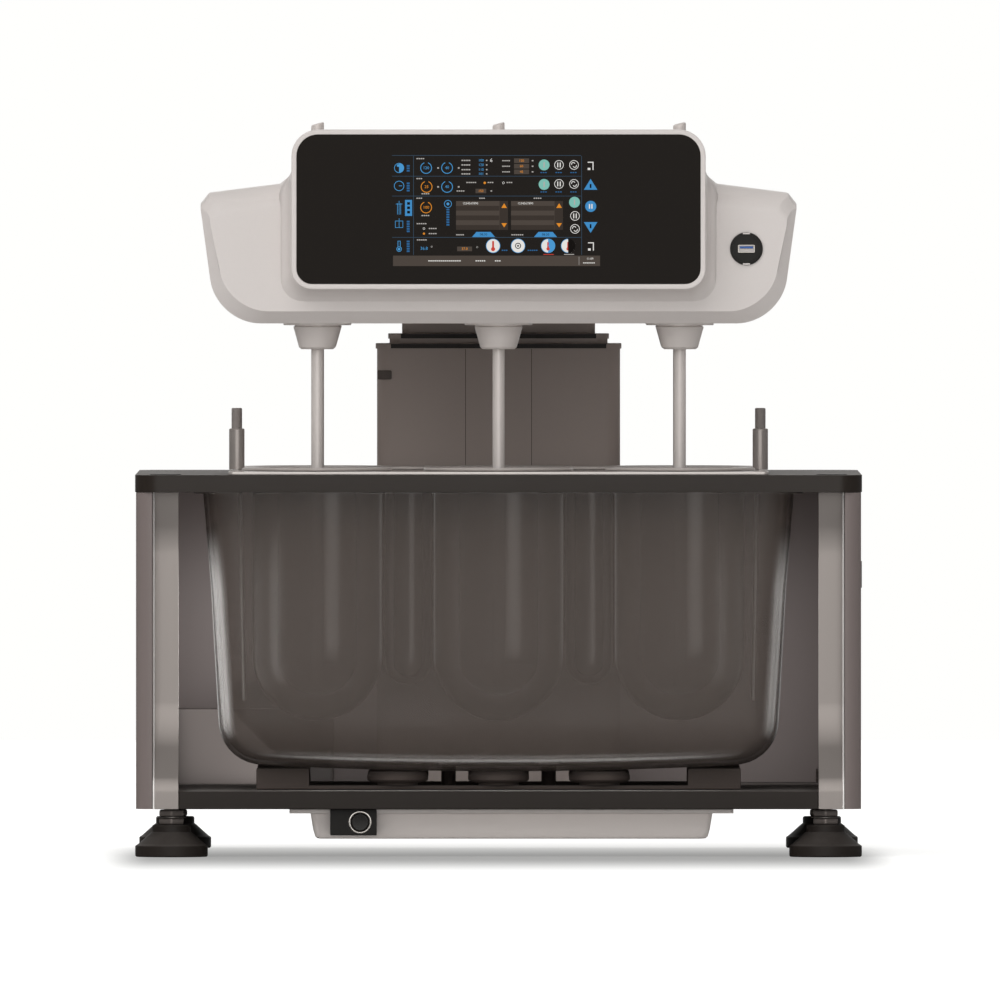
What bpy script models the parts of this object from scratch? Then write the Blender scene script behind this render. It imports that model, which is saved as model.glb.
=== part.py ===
# Tablet dissolution tester: six stirred glass vessels in a heated water bath,
# under a drive head that rises on a telescoping column.
# Metres, Z up, front toward -Y, origin on the floor at the middle of the footprint.

import math

import bmesh
import bpy
from mathutils import Matrix, Vector

# Clearances, cuts and roundness
GAP = 0.0003
RUNNING_GAP = 0.0005
OVERRUN = 0.004
SINK = 0.0012
GLASS_STEPS = 20
ROUND_STEPS = 16
SMALL_STEPS = 12
CORNER_STEPS = 3
BELT_STEP_ANGLE = 15
SHARP_ANGLE = 35
LEAST_MITRE_SHARE = 0.57
WELD_DISTANCE = 0.000003

# Six stations in two rows, and what hangs in the bath
STATION_PITCH = 0.150
ROW_PITCH = 0.155
VESSEL_DIAMETER = 0.107
VESSEL_WALL = 0.0025
VESSEL_DEPTH = 0.2064
VESSEL_FLANGE_WIDTH = 0.0085
VESSEL_FLANGE_THICKNESS = 0.0025
TUBE_DIAMETER = 0.0385
TUBE_WALL = 0.0018
TUBE_DEPTH = 0.1783
TUBE_FLANGE_WIDTH = 0.0045
BOWL_STEPS = 4

# Probe standing on the vessel plate at each side
PROBE_EDGE_ROOM = 0.0058
PROBE_SLEEVE_DIAMETER = 0.0128
PROBE_SLEEVE_HEIGHT = 0.0342
PROBE_STUB_DIAMETER = 0.0088
PROBE_STUB_HEIGHT = 0.017
PROBE_ROD_DIAMETER = 0.003
PROBE_ROD_DEPTH = 0.1915
PROBE_LEAN = 0.003

# Paddle and its spindle
SHAFT_DIAMETER = 0.010
SHAFT_SHOW = 0.0066
SHAFT_SLANT = 0.003
BLADE_WIDTH = 0.0745
BLADE_FOOT_WIDTH = 0.042
BLADE_HEIGHT = 0.019
BLADE_THICKNESS = 0.004
BLADE_CLEARANCE = 0.025
SPINDLE_WALL = 0.0027
SPINDLE_RISE = 0.148
PULLEY_DIAMETER = 0.044
PULLEY_HEIGHT = 0.012
PULLEY_LEVEL = 0.030
TOOTH_DEPTH = 0.0011
SPINDLE_TEETH = 16
MOTOR_TEETH = 10
TOOTH_SHARES = ((0.0, 0), (0.2, 1), (0.5, 1), (0.7, 0))

# Water bath
TUB_SIDE_ROOM = 0.0405
TUB_END_ROOM = 0.0265
TUB_HEIGHT = 0.2309
TUB_WALL = 0.004
TUB_TAPER = 0.0125
TUB_BOW = 0.005
TUB_SIDE_FILLET = 0.037
TUB_FRONT_FILLET = 0.022
TUB_CORNER_RADIUS = 0.024
TUB_RIM_WIDTH = 0.008
TUB_RIM_THICKNESS = 0.004
TUB_FLOOR_COLUMNS = 6
TUB_FILLET_STEPS = 3

# Deck frame and the bright plate that carries the vessels
DECK_THICKNESS = 0.0141
DECK_CORNER_RADIUS = 0.020
DECK_LEDGE = 0.0035
DECK_FRONT_ROOM = 0.030
PLATE_EDGE = 0.0212
PLATE_FRONT_SETBACK = 0.018
PLATE_THICKNESS = 0.0022
PLATE_CORNER_RADIUS = 0.010

# Base shelf, levelling feet and side walls
BASE_THICKNESS = 0.0149
BASE_FRONT_SETBACK = 0.004
FOOT_PAD_DIAMETER = 0.0600
FOOT_PAD_HEIGHT = 0.010
FOOT_CONE_HEIGHT = 0.0106
FOOT_COLLAR_DIAMETER = 0.032
FOOT_COLLAR_HEIGHT = 0.0058
FOOT_NUT_SPACE = 0.0132
FOOT_STUD_DIAMETER = 0.010
FOOT_STUD_RISE = 0.0265
FOOT_BEVEL = 0.0015
FRONT_FOOT_SETBACK = 0.031
REAR_FOOT_SETBACK = 0.035
COVER_SHEET = 0.002
COVER_RETURN = 0.0136
COVER_RADIUS = 0.008
COVER_INSET = 0.0008
REAR_PANEL_SHEET = 0.002
REAR_PANEL_EDGE = 0.006

# Polished front legs, bent like a shallow S seen from the side
LEG_ROOM = 0.0201
LEG_WIDTH = 0.0212
LEG_THICKNESS = 0.008
LEG_SETBACK = 0.030
LEG_TOE_SETBACK = 0.008
LEG_TOE_HEIGHT = 0.0165
LEG_KICK_HEIGHT = 0.060
LEG_TOP_BEND = 0.008
LEG_TOP_HEIGHT = 0.038
LEG_KICK_SHARES = ((0.12, 0.20), (0.50, 0.45), (0.86, 0.75))
LEG_TOP_SHARES = ((0.22, 0.45), (0.62, 0.78), (1.0, 1.0))

# Rubber pads and end blocks that hold the bath off the shelf
SUPPORT_HEIGHT = 0.0149
SUPPORT_BAR_HEIGHT = 0.0032
SUPPORT_BAR_WIDTH = 0.026
SUPPORT_INSET = 0.050
PAD_PITCH = 0.0834
PAD_DIAMETER = 0.0504
PAD_STEM_DIAMETER = 0.0334
PAD_CAP_HEIGHT = 0.0118
PAD_CAP_BEVEL = 0.003
END_BLOCK_LENGTH = 0.046
END_BLOCK_INSET = 0.027
END_BLOCK_RISE = 0.0025

# Pan under the shelf with the mains switch
TRAY_WIDTH = 0.3317
TRAY_SIDE_FLANGE = 0.0174
TRAY_FRONT_FLANGE = 0.006
TRAY_FLANGE_THICKNESS = 0.0037
TRAY_DEPTH = 0.0245
TRAY_LENGTH = 0.405
TRAY_OFFSET = 0.0107
TRAY_SETBACK = 0.025
TRAY_DRAFT = 0.003
TRAY_CORNER = 0.005
TRAY_CORNER_SHARE = 0.3
TRAY_SHEET = 0.0018
SWITCH_PANEL_WIDTH = 0.0385
SWITCH_PANEL_DEPTH = 0.0087
SWITCH_PANEL_HEIGHT = 0.0215
SWITCH_PANEL_OFFSET = -0.11975
BUTTON_OFFSET = 0.0055
BUTTON_DIAMETER = 0.0154
BUTTON_PROUD = 0.0015
BUTTON_TRAVEL = 0.002
BUTTON_CAP_DEPTH = 0.004
BUTTON_STEM_DIAMETER = 0.005
BUTTON_STEM_REACH = 0.014
BUTTON_BEVEL = 0.0008

# Heater and pump, power supply and mains inlet
HEATER_WIDTH = 0.130
HEATER_DEPTH = 0.100
HEATER_HEIGHT = 0.017
HEATER_PIPE_DIAMETER = 0.012
HEATER_PIPE_SPACING = 0.083
SUPPLY_WIDTH = 0.140
SUPPLY_DEPTH = 0.080
SUPPLY_HEIGHT = 0.062
SUPPLY_EDGE_ROOM = 0.020
SUPPLY_BEVEL = 0.003
INLET_OFFSET = -0.205
INLET_LEVEL = 0.1265
INLET_WIDTH = 0.048
INLET_HEIGHT = 0.028
INLET_FLANGE = 0.0014
INLET_BODY_WIDTH = 0.031
INLET_BODY_HEIGHT = 0.023
INLET_BODY_DEPTH = 0.022
INLET_CAVITY_WIDTH = 0.0245
INLET_CAVITY_HEIGHT = 0.0165
INLET_CAVITY_DEPTH = 0.016

# Telescoping column, three stages, and the lift inside it
COLUMN_ROOM = 0.022
COLUMN_REAR_ROOM = 0.015
COLUMN_WIDTH = 0.2026
COLUMN_DEPTH = 0.098
COLUMN_STEP = 0.0104
COLUMN_RADIUS = 0.012
COLUMN_SHEET = 0.002
COLUMN_LIP_PROUD = 0.0011
COLUMN_LIP_HEIGHT = 0.0041
INNER_SHOW = 0.0104
MIDDLE_SHOW = 0.0082
MIDDLE_BOTTOM_ROOM = 0.035
INNER_BOTTOM_ROOM = 0.045
GUIDE_HEIGHT = 0.010
LIFT_TRAVEL = 0.220
LIFT_PLATE_HEIGHT = 0.008
LIFT_PLATE_DEPTH = 0.048
GUIDE_ROD_DIAMETER = 0.016
GUIDE_ROD_SIDE_ROOM = 0.0152
LIFT_PLATE_SIDE_ROOM = 0.0052
GUIDE_TOP_ROOM = 0.025
GUIDE_TIE_HEIGHT = 0.008
GUIDE_TIE_DEPTH = 0.034
CARRIAGE_HEIGHT = 0.040
CARRIAGE_LIFT = 0.004
ACTUATOR_DIAMETER = 0.036
ACTUATOR_WALL = 0.0077
ACTUATOR_FLOOR = 0.022
ACTUATOR_TOP_ROOM = 0.0469
ACTUATOR_ROD_ROOM = 0.005

# Drive head
HEAD_ROOM = 0.1222
HEAD_SIDE_ROOM = 0.0964
HEAD_FRONT_ROOM = 0.045
HEAD_REAR_ROOM = 0.010
HEAD_WALL = 0.003
HEAD_FLAT_INSET = 0.056
HEAD_FLAT_SHARE = 0.6
HEAD_WAIST_INSET = 0.008
HEAD_WAIST_RISE = 0.0365
HEAD_SHOULDER_RISE = 0.099
HEAD_SHOULDER_CUT = 0.0071
HEAD_SHOULDER_HEIGHT = 0.009
HEAD_SHOULDER_SLOPE = 0.0074
HUMP_FOOT_WIDTH = 0.0109
HUMP_FOOT_HEIGHT = 0.0106
HUMP_BLEND_SHARES = (0.6, 0.5)
HUMP_INSET = 0.0012
HUMP_RADIUS = 0.020
HEAD_HEIGHT = 0.1588
HEAD_FRONT_CHAMFER = 0.010
HEAD_SIDE_CHAMFER = 0.0084
HEAD_BOTTOM_CHAMFER = 0.0103
HEAD_SPLIT = 0.115
HEAD_REAR_ROUND = 0.030
HEAD_REAR_INSET = 0.012
SHAFT_HOLE_ROOM = 0.0012

# Screen block on the front of the head
BLOCK_SIDE_ROOM = 0.021
BLOCK_DEPTH = 0.030
BLOCK_LOW_EDGE = 0.0284
BLOCK_HEIGHT = 0.1319
BLOCK_TOP_RADIUS = 0.022
BLOCK_LOW_RADIUS = 0.017
BLOCK_DRAFT = 0.0102
BLOCK_LOW_DRAFT = 0.0114
BLOCK_FLARE_SHARE = 0.33
BEZEL_WIDTH = 0.0041
SCREEN_THICKNESS = 0.006
SCREEN_LEDGE = 0.004
BOARD_WIDTH = 0.220
BOARD_HEIGHT = 0.080
BOARD_THICKNESS = 0.0016
BOARD_STANDOFF = 0.008
BOARD_POST_DIAMETER = 0.006
BOARD_POST_INSET = 0.010

# Memory stick socket beside the screen
USB_EDGE_ROOM = 0.0416
USB_RISE = 0.0618
USB_DIAMETER = 0.0272
USB_FLANGE = 0.0012
USB_BODY_DIAMETER = 0.022
USB_BODY_DEPTH = 0.020
USB_SLOT_WIDTH = 0.0126
USB_SLOT_HEIGHT = 0.0052
USB_SLOT_DEPTH = 0.012

# Plate in the bottom of the head that carries the spindles, motor and tensioner
CARRIER_THICKNESS = 0.008
CARRIER_SIDE_ROOM = 0.035
CARRIER_REAR_INSET = 0.010
NOSE_FLANGE_DIAMETER = 0.056
NOSE_FLANGE_HEIGHT = 0.0016
NOSE_TOP_DIAMETER = 0.0397
NOSE_LOW_DIAMETER = 0.0298
NOSE_HEIGHT = 0.0215
NOSE_BEVEL = 0.0015
BOSS_DIAMETER = 0.025
IDLER_SPACING = 0.075
BELT_DEFLECTION = 0.012
BELT_THICKNESS = 0.002
BELT_GAP = 0.0004
TENSION_POST_DIAMETER = 0.008
TENSION_BOSS_DIAMETER = 0.014
MOTOR_DIAMETER = 0.050
MOTOR_HEIGHT = 0.054
MOTOR_FLANGE = 0.004
MOTOR_LEVEL = 0.047
MOTOR_POST_DIAMETER = 0.008
MOTOR_POST_SPACING = 0.046
MOTOR_SHAFT_DIAMETER = 0.008
MOTOR_SHAFT_REACH = 0.016

# Footprint, worked out from the rows outward
tub_half_width = STATION_PITCH + VESSEL_DIAMETER / 2 + TUB_SIDE_ROOM
tub_half_depth = ROW_PITCH / 2 + VESSEL_DIAMETER / 2 + TUB_END_ROOM
leg_inner_x = tub_half_width + LEG_ROOM
leg_outer_x = leg_inner_x + LEG_WIDTH
cover_outer_x = leg_outer_x + GAP + COVER_RETURN
body_half_width = cover_outer_x + COVER_INSET
body_half_depth = (DECK_FRONT_ROOM + 2 * tub_half_depth + COLUMN_ROOM + COLUMN_DEPTH + COLUMN_REAR_ROOM) / 2
front_y = -body_half_depth
rows_y = front_y + DECK_FRONT_ROOM + tub_half_depth
tub_back_y = rows_y + tub_half_depth
column_y = tub_back_y + COLUMN_ROOM + COLUMN_DEPTH / 2
row_front_y = rows_y - ROW_PITCH / 2
row_back_y = rows_y + ROW_PITCH / 2

# Levels, worked out from the floor upward
base_bottom_z = FOOT_PAD_HEIGHT + FOOT_CONE_HEIGHT + FOOT_COLLAR_HEIGHT + FOOT_NUT_SPACE
base_top_z = base_bottom_z + BASE_THICKNESS
support_top_z = base_top_z + GAP + SUPPORT_HEIGHT
tub_floor_z = support_top_z + GAP
tub_top_z = tub_floor_z + TUB_HEIGHT
deck_bottom_z = tub_top_z + GAP
deck_top_z = deck_bottom_z + DECK_THICKNESS
plate_top_z = deck_top_z + GAP + PLATE_THICKNESS
vessel_bottom_z = plate_top_z - VESSEL_DEPTH
head_bottom_z = plate_top_z + HEAD_ROOM
head_top_z = head_bottom_z + HEAD_HEIGHT
carrier_top_z = head_bottom_z + CARRIER_THICKNESS
middle_top_z = head_bottom_z - INNER_SHOW
outer_top_z = middle_top_z - MIDDLE_SHOW
pulley_low_z = head_bottom_z + PULLEY_LEVEL
pulley_top_z = pulley_low_z + PULLEY_HEIGHT
shaft_top_z = head_top_z + SINK + SHAFT_SHOW
blade_low_z = vessel_bottom_z + VESSEL_WALL + BLADE_CLEARANCE

# Smooth and toothed idlers, as much smaller than the spindle pulleys as their teeth are fewer
idler_diameter = PULLEY_DIAMETER * MOTOR_TEETH / SPINDLE_TEETH

# Places of the stations, counted from the front left
stations = [
    (column * STATION_PITCH, row_y)
    for row_y in (row_front_y, row_back_y)
    for column in (-1, 0, 1)
]


def bore_radius(shaft_radius, clearance, steps):
    # flat-sided bore whose sides, not only its corners, clear a turning shaft
    return (shaft_radius + clearance) / math.cos(math.pi / steps)


def arc(centre, radii, start, end, steps):
    points = []
    for index in range(steps + 1):
        angle = math.radians(start + (end - start) * index / steps)
        points.append((centre[0] + radii[0] * math.cos(angle), centre[1] + radii[1] * math.sin(angle)))
    return points


def rounded_rectangle(across, along, low_radius, high_radius):
    # counter-clockwise from the low left corner
    left, right = across
    low, high = along
    corners = (
        ((left + low_radius, low + low_radius), low_radius, 180),
        ((right - low_radius, low + low_radius), low_radius, 270),
        ((right - high_radius, high - high_radius), high_radius, 0),
        ((left + high_radius, high - high_radius), high_radius, 90),
    )
    points = []
    for centre, radius, start in corners:
        points += arc(centre, (radius, radius), start, start + 90, CORNER_STEPS)
    return points


def inset(points, distance):
    # moves every side of a counter-clockwise outline inward by one distance
    moved = []
    for index, point in enumerate(points):
        here = Vector(point)
        before = (here - Vector(points[index - 1])).normalized()
        after = (Vector(points[(index + 1) % len(points)]) - here).normalized()
        inward = Vector((-before.y - after.y, before.x + after.x)).normalized()
        reach = distance / max(inward.dot(Vector((-before.y, before.x))), LEAST_MITRE_SHARE)
        moved.append(tuple(here + inward * reach))
    return moved


def ribbon(path, thickness):
    # outline of a sheet of one thickness that follows an open path
    left, right = [], []
    for index, point in enumerate(path):
        here = Vector(point)
        before = (here - Vector(path[max(index - 1, 0)]))
        after = (Vector(path[min(index + 1, len(path) - 1)]) - here)
        before = (before if before.length else after).normalized()
        after = (after if after.length else before).normalized()
        side = Vector((-before.y - after.y, before.x + after.x)).normalized()
        reach = thickness / 2 / side.dot(Vector((-before.y, before.x)))
        left.append(tuple(here + side * reach))
        right.append(tuple(here - side * reach))
    return right + left[::-1]


def lay(points, axis, level):
    # an outline drawn flat, laid square to an axis at one level
    if axis == "x":
        return [Vector((level, first, second)) for first, second in points]
    if axis == "y":
        return [Vector((first, level, second)) for first, second in points]
    return [Vector((first, second, level)) for first, second in points]


def skin(rings, closed=False, strips=False):
    # walls between rings of as many points; the end rings are filled, or joined to each other
    shape = bmesh.new()
    rows = [[shape.verts.new(point) for point in row] for row in rings]
    pairs = list(zip(rows, rows[1:]))
    if closed:
        pairs.append((rows[-1], rows[0]))
    for lower, upper in pairs:
        for index in range(len(lower)):
            shape.faces.new((lower[index - 1], lower[index], upper[index], upper[index - 1]))
    for row in () if closed else (rows[0], rows[-1]):
        if strips:
            for index in range(len(row) // 2 - 1):
                shape.faces.new((row[index], row[index + 1], row[-2 - index], row[-1 - index]))
        else:
            shape.faces.new(row)
    bmesh.ops.recalc_face_normals(shape, faces=shape.faces)
    return shape


def prism(outline, axis, low, high):
    return skin([lay(outline, axis, low), lay(outline, axis, high)])


def block(across, along, up):
    outline = [(across[0], along[0]), (across[1], along[0]), (across[1], along[1]), (across[0], along[1])]
    return prism(outline, "z", up[0], up[1])


def around(centre, size):
    return centre - size / 2, centre + size / 2


def turned(profile, centre, steps, axis="z"):
    # profile of (radius, level) points, closed unless both ends lie on the axis
    shape = bmesh.new()
    verts = [shape.verts.new((radius, 0, level)) for radius, level in profile]
    edges = [shape.edges.new(pair) for pair in zip(verts, verts[1:])]
    if profile[0][0] > 0:
        edges.append(shape.edges.new((verts[-1], verts[0])))
    bmesh.ops.spin(
        shape, geom=verts + edges, cent=(0, 0, 0), axis=(0, 0, 1),
        angle=2 * math.pi, steps=steps, use_merge=True,
    )
    bmesh.ops.remove_doubles(shape, verts=shape.verts, dist=WELD_DISTANCE)
    place = Vector((centre[0], centre[1], 0))
    if axis == "y":
        bmesh.ops.rotate(shape, verts=shape.verts, matrix=Matrix.Rotation(-math.pi / 2, 3, "X"))
        place = Vector((centre[0], 0, centre[1]))
    bmesh.ops.translate(shape, verts=shape.verts, vec=place)
    bmesh.ops.recalc_face_normals(shape, faces=shape.faces)
    return shape


def rod(centre, radius, low, high, steps, axis="z"):
    return turned([(0, low), (radius, low), (radius, high), (0, high)], centre, steps, axis)


def gather(shapes):
    whole = bmesh.new()
    for shape in shapes:
        mesh = bpy.data.meshes.new("gathered")
        shape.to_mesh(mesh)
        shape.free()
        whole.from_mesh(mesh)
        bpy.data.meshes.remove(mesh)
    return whole


def finish(name, colour, roughness, metallic, alpha=1.0):
    material = bpy.data.materials.new(name)
    material.use_nodes = True
    shader = material.node_tree.nodes["Principled BSDF"]
    shader.inputs["Base Color"].default_value = (*colour, 1.0)
    shader.inputs["Roughness"].default_value = roughness
    shader.inputs["Metallic"].default_value = metallic
    shader.inputs["Alpha"].default_value = alpha
    material.diffuse_color = (*colour, alpha)
    return material


def add_axis(name, place):
    # an empty that a moving group hangs from, on the line it moves along or about
    empty = bpy.data.objects.new(name, None)
    empty.location = place
    bpy.context.collection.objects.link(empty)
    return empty


def add_part(name, shape, material, carrier=None):
    place = carrier.location if carrier else Vector((0, 0, 0))
    bmesh.ops.translate(shape, verts=shape.verts, vec=-place)
    mesh = bpy.data.meshes.new(name)
    shape.to_mesh(mesh)
    shape.free()
    mesh.materials.append(material)
    mesh.shade_smooth()
    mesh.set_sharp_from_angle(angle=math.radians(SHARP_ANGLE))
    part = bpy.data.objects.new(name, mesh)
    bpy.context.collection.objects.link(part)
    part.parent = carrier
    return part


def change(part, operation, *shapes):
    # joins shapes to a part or cuts them from it
    whole = gather(shapes)
    mesh = bpy.data.meshes.new(f"{part.name}_{operation.lower()}")
    whole.to_mesh(mesh)
    whole.free()
    helper = bpy.data.objects.new(f"{mesh.name}_{len(part.modifiers)}", mesh)
    helper.hide_render = True
    helper.display_type = "WIRE"
    bpy.context.collection.objects.link(helper)
    modifier = part.modifiers.new(helper.name, "BOOLEAN")
    modifier.operation = operation
    modifier.object = helper
    return part


def make_feet(materials):
    radius = FOOT_PAD_DIAMETER / 2
    cone_top = FOOT_PAD_HEIGHT + FOOT_CONE_HEIGHT
    collar_top = cone_top + FOOT_COLLAR_HEIGHT
    stud_top = base_bottom_z + FOOT_STUD_RISE
    stud_radius = FOOT_STUD_DIAMETER / 2
    profile = [
        (0, 0), (radius - FOOT_BEVEL, 0), (radius, FOOT_BEVEL), (radius, FOOT_PAD_HEIGHT),
        (FOOT_COLLAR_DIAMETER / 2, cone_top), (FOOT_COLLAR_DIAMETER / 2, collar_top),
        (stud_radius, collar_top), (stud_radius, stud_top), (0, stud_top),
    ]
    for name, (x, y) in foot_places().items():
        axis = add_axis(f"{name}_axis", (x, y, 0))
        add_part(name, turned(profile, (x, y), ROUND_STEPS), materials["foot"], axis)


def foot_places():
    side = body_half_width - FOOT_PAD_DIAMETER / 2
    front = front_y + FRONT_FOOT_SETBACK
    back = body_half_depth - REAR_FOOT_SETBACK
    return {
        "levelling_foot_front_left": (-side, front),
        "levelling_foot_front_right": (side, front),
        "levelling_foot_rear_left": (-side, back),
        "levelling_foot_rear_right": (side, back),
    }


def leg_toe_back_y():
    return front_y + LEG_TOE_SETBACK + LEG_THICKNESS / 2


def make_base_shelf(materials):
    side = cover_outer_x - COVER_SHEET - GAP
    nose_x = leg_inner_x - GAP
    notch_y = leg_toe_back_y() + GAP
    front = front_y + BASE_FRONT_SETBACK
    back = body_half_depth - BASE_FRONT_SETBACK - COVER_SHEET - GAP
    outline = [
        (-nose_x, front), (nose_x, front), (nose_x, notch_y), (side, notch_y),
        (side, back), (-side, back), (-side, notch_y), (-nose_x, notch_y),
    ]
    shelf = add_part("base_shelf", prism(outline, "z", base_bottom_z, base_top_z), materials["frame"])
    levels = (base_bottom_z - OVERRUN, base_top_z + OVERRUN)
    radius = FOOT_STUD_DIAMETER / 2 + GAP
    holes = [rod(place, radius, *levels, ROUND_STEPS) for place in foot_places().values()]
    pipe_radius = HEATER_PIPE_DIAMETER / 2 + GAP
    holes += [rod(place, pipe_radius, *levels, SMALL_STEPS) for place in pipe_places()]
    change(shelf, "DIFFERENCE", *holes)


def make_legs(materials):
    toe_y = front_y + LEG_TOE_SETBACK
    leg_y = front_y + LEG_SETBACK
    top = deck_bottom_z - GAP
    toe_top = base_bottom_z + LEG_TOE_HEIGHT
    kick_top = toe_top + LEG_KICK_HEIGHT
    bend_low = top - LEG_TOP_HEIGHT
    depth = leg_y - toe_y
    path = [(toe_y, base_bottom_z), (toe_y, toe_top)]
    for share_y, share_z in LEG_KICK_SHARES:
        path.append((toe_y + depth * share_y, toe_top + LEG_KICK_HEIGHT * share_z))
    path += [(leg_y, kick_top), (leg_y, bend_low)]
    for share_y, share_z in LEG_TOP_SHARES:
        path.append((leg_y - LEG_TOP_BEND * share_y, bend_low + LEG_TOP_HEIGHT * share_z))
    outline = ribbon(path, LEG_THICKNESS)
    for name, side in (("front_leg_left", -1), ("front_leg_right", 1)):
        low, high = sorted((side * leg_inner_x, side * leg_outer_x))
        leg = add_part(name, prism(outline, "x", low, high), materials["polished"])
        # the bent top end is cut level with the underside of the deck
        across = around((low + high) / 2, 2 * LEG_WIDTH)
        lid = block(across, (front_y, leg_y + LEG_THICKNESS), (top, top + OVERRUN))
        change(leg, "DIFFERENCE", lid)


def make_side_covers(materials):
    half = COVER_SHEET / 2
    wall_x = cover_outer_x - half
    return_x = cover_outer_x - COVER_RETURN
    front = front_y + BASE_FRONT_SETBACK + half
    back = body_half_depth - BASE_FRONT_SETBACK - half
    bend = COVER_RADIUS - half
    path = [(return_x, front)]
    path += arc((wall_x - bend, front + bend), (bend, bend), 270, 360, CORNER_STEPS)
    path += [(wall_x, back), (return_x, back)]
    for name, side in (("side_cover_left", -1), ("side_cover_right", 1)):
        outline = [(side * x, y) for x, y in ribbon(path, COVER_SHEET)]
        cover = prism(outline, "z", base_bottom_z, deck_bottom_z - GAP)
        add_part(name, cover, materials["cover"])


def make_rear_panel(materials):
    back = body_half_depth - BASE_FRONT_SETBACK + GAP
    side = cover_outer_x - REAR_PANEL_EDGE
    outline = rounded_rectangle(
        (-side, side), (base_bottom_z, deck_bottom_z - GAP), REAR_PANEL_EDGE, REAR_PANEL_EDGE)
    panel = add_part("rear_panel", prism(outline, "y", back, back + REAR_PANEL_SHEET), materials["cover"])
    opening = block(
        around(INLET_OFFSET, INLET_BODY_WIDTH + 2 * GAP), (back - OVERRUN, back + OVERRUN + REAR_PANEL_SHEET),
        around(INLET_LEVEL, INLET_BODY_HEIGHT + 2 * GAP))
    change(panel, "DIFFERENCE", opening)


def make_power_inlet(materials):
    face = body_half_depth - BASE_FRONT_SETBACK + 2 * GAP + REAR_PANEL_SHEET
    flange = block(
        around(INLET_OFFSET, INLET_WIDTH), (face, face + INLET_FLANGE), around(INLET_LEVEL, INLET_HEIGHT))
    body = block(
        around(INLET_OFFSET, INLET_BODY_WIDTH), (face - INLET_BODY_DEPTH, face + INLET_FLANGE / 2),
        around(INLET_LEVEL, INLET_BODY_HEIGHT))
    cavity = block(
        around(INLET_OFFSET, INLET_CAVITY_WIDTH),
        (face + INLET_FLANGE - INLET_CAVITY_DEPTH, face + INLET_FLANGE + OVERRUN),
        around(INLET_LEVEL, INLET_CAVITY_HEIGHT))
    inlet = add_part("power_inlet", flange, materials["black_plastic"])
    change(inlet, "UNION", body)
    change(inlet, "DIFFERENCE", cavity)


def make_power_supply(materials):
    side = cover_outer_x - COVER_SHEET - SUPPLY_EDGE_ROOM
    back = body_half_depth - SUPPLY_EDGE_ROOM - INLET_BODY_DEPTH
    outline = rounded_rectangle(
        (-side, SUPPLY_WIDTH - side), (back - SUPPLY_DEPTH, back), SUPPLY_BEVEL, SUPPLY_BEVEL)
    low = base_top_z + GAP
    add_part("power_supply", prism(outline, "z", low, low + SUPPLY_HEIGHT), materials["bare_metal"])


def pipe_places():
    return [(side * HEATER_PIPE_SPACING / 2, rows_y) for side in (-1, 1)]


def make_heater(materials):
    top = base_bottom_z - GAP
    body = block(around(0, HEATER_WIDTH), around(rows_y, HEATER_DEPTH), (top - HEATER_HEIGHT, top))
    unit = add_part("heater_pump_unit", body, materials["black_plastic"])
    end = tub_floor_z + TUB_WALL / 2
    change(unit, "UNION", *[
        rod(place, HEATER_PIPE_DIAMETER / 2, top - SINK, end, SMALL_STEPS) for place in pipe_places()])


def tray_rings(side_inset, front_inset, level):
    middle = TRAY_OFFSET
    half = TRAY_WIDTH / 2 - side_inset
    low = front_y + TRAY_SETBACK + front_inset
    high = front_y + TRAY_SETBACK + TRAY_LENGTH - front_inset
    outline = rounded_rectangle((middle - half, middle + half), (low, high), TRAY_CORNER, TRAY_CORNER)
    return lay(outline, "z", level)


def make_tray(materials):
    top = base_bottom_z - GAP
    flange_low = top - TRAY_FLANGE_THICKNESS
    bottom = flange_low - TRAY_DEPTH + TRAY_FLANGE_THICKNESS
    corner = TRAY_CORNER * TRAY_CORNER_SHARE
    inner = TRAY_SHEET
    rings = [
        tray_rings(TRAY_DRAFT + TRAY_CORNER, TRAY_CORNER, bottom),
        tray_rings(TRAY_DRAFT + corner, corner, bottom + corner),
        tray_rings(TRAY_DRAFT, 0, bottom + TRAY_CORNER),
        tray_rings(0, 0, flange_low),
        tray_rings(-TRAY_SIDE_FLANGE, -TRAY_FRONT_FLANGE, flange_low),
        tray_rings(-TRAY_SIDE_FLANGE, -TRAY_FRONT_FLANGE, top),
        tray_rings(inner, inner, top),
        tray_rings(TRAY_DRAFT + inner, inner, bottom + TRAY_CORNER),
        tray_rings(TRAY_DRAFT + TRAY_CORNER, TRAY_CORNER, bottom + inner),
    ]
    tray = add_part("base_tray", skin(rings), materials["tray"])
    wall_y = front_y + TRAY_SETBACK
    panel_room = block(
        around(SWITCH_PANEL_OFFSET, SWITCH_PANEL_WIDTH + 2 * GAP),
        (wall_y - TRAY_FRONT_FLANGE - OVERRUN, wall_y), (flange_low - OVERRUN, top + OVERRUN))
    stem_radius = bore_radius(BUTTON_STEM_DIAMETER / 2, RUNNING_GAP, SMALL_STEPS)
    stem_hole = rod(
        button_place(), stem_radius, wall_y - OVERRUN / 2, wall_y + OVERRUN, SMALL_STEPS, "y")
    change(tray, "DIFFERENCE", panel_room)
    change(tray, "DIFFERENCE", stem_hole)


def button_place():
    return SWITCH_PANEL_OFFSET + BUTTON_OFFSET, base_bottom_z - GAP - SWITCH_PANEL_HEIGHT / 2


def switch_face_y():
    return front_y + TRAY_SETBACK - GAP - SWITCH_PANEL_DEPTH


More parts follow.
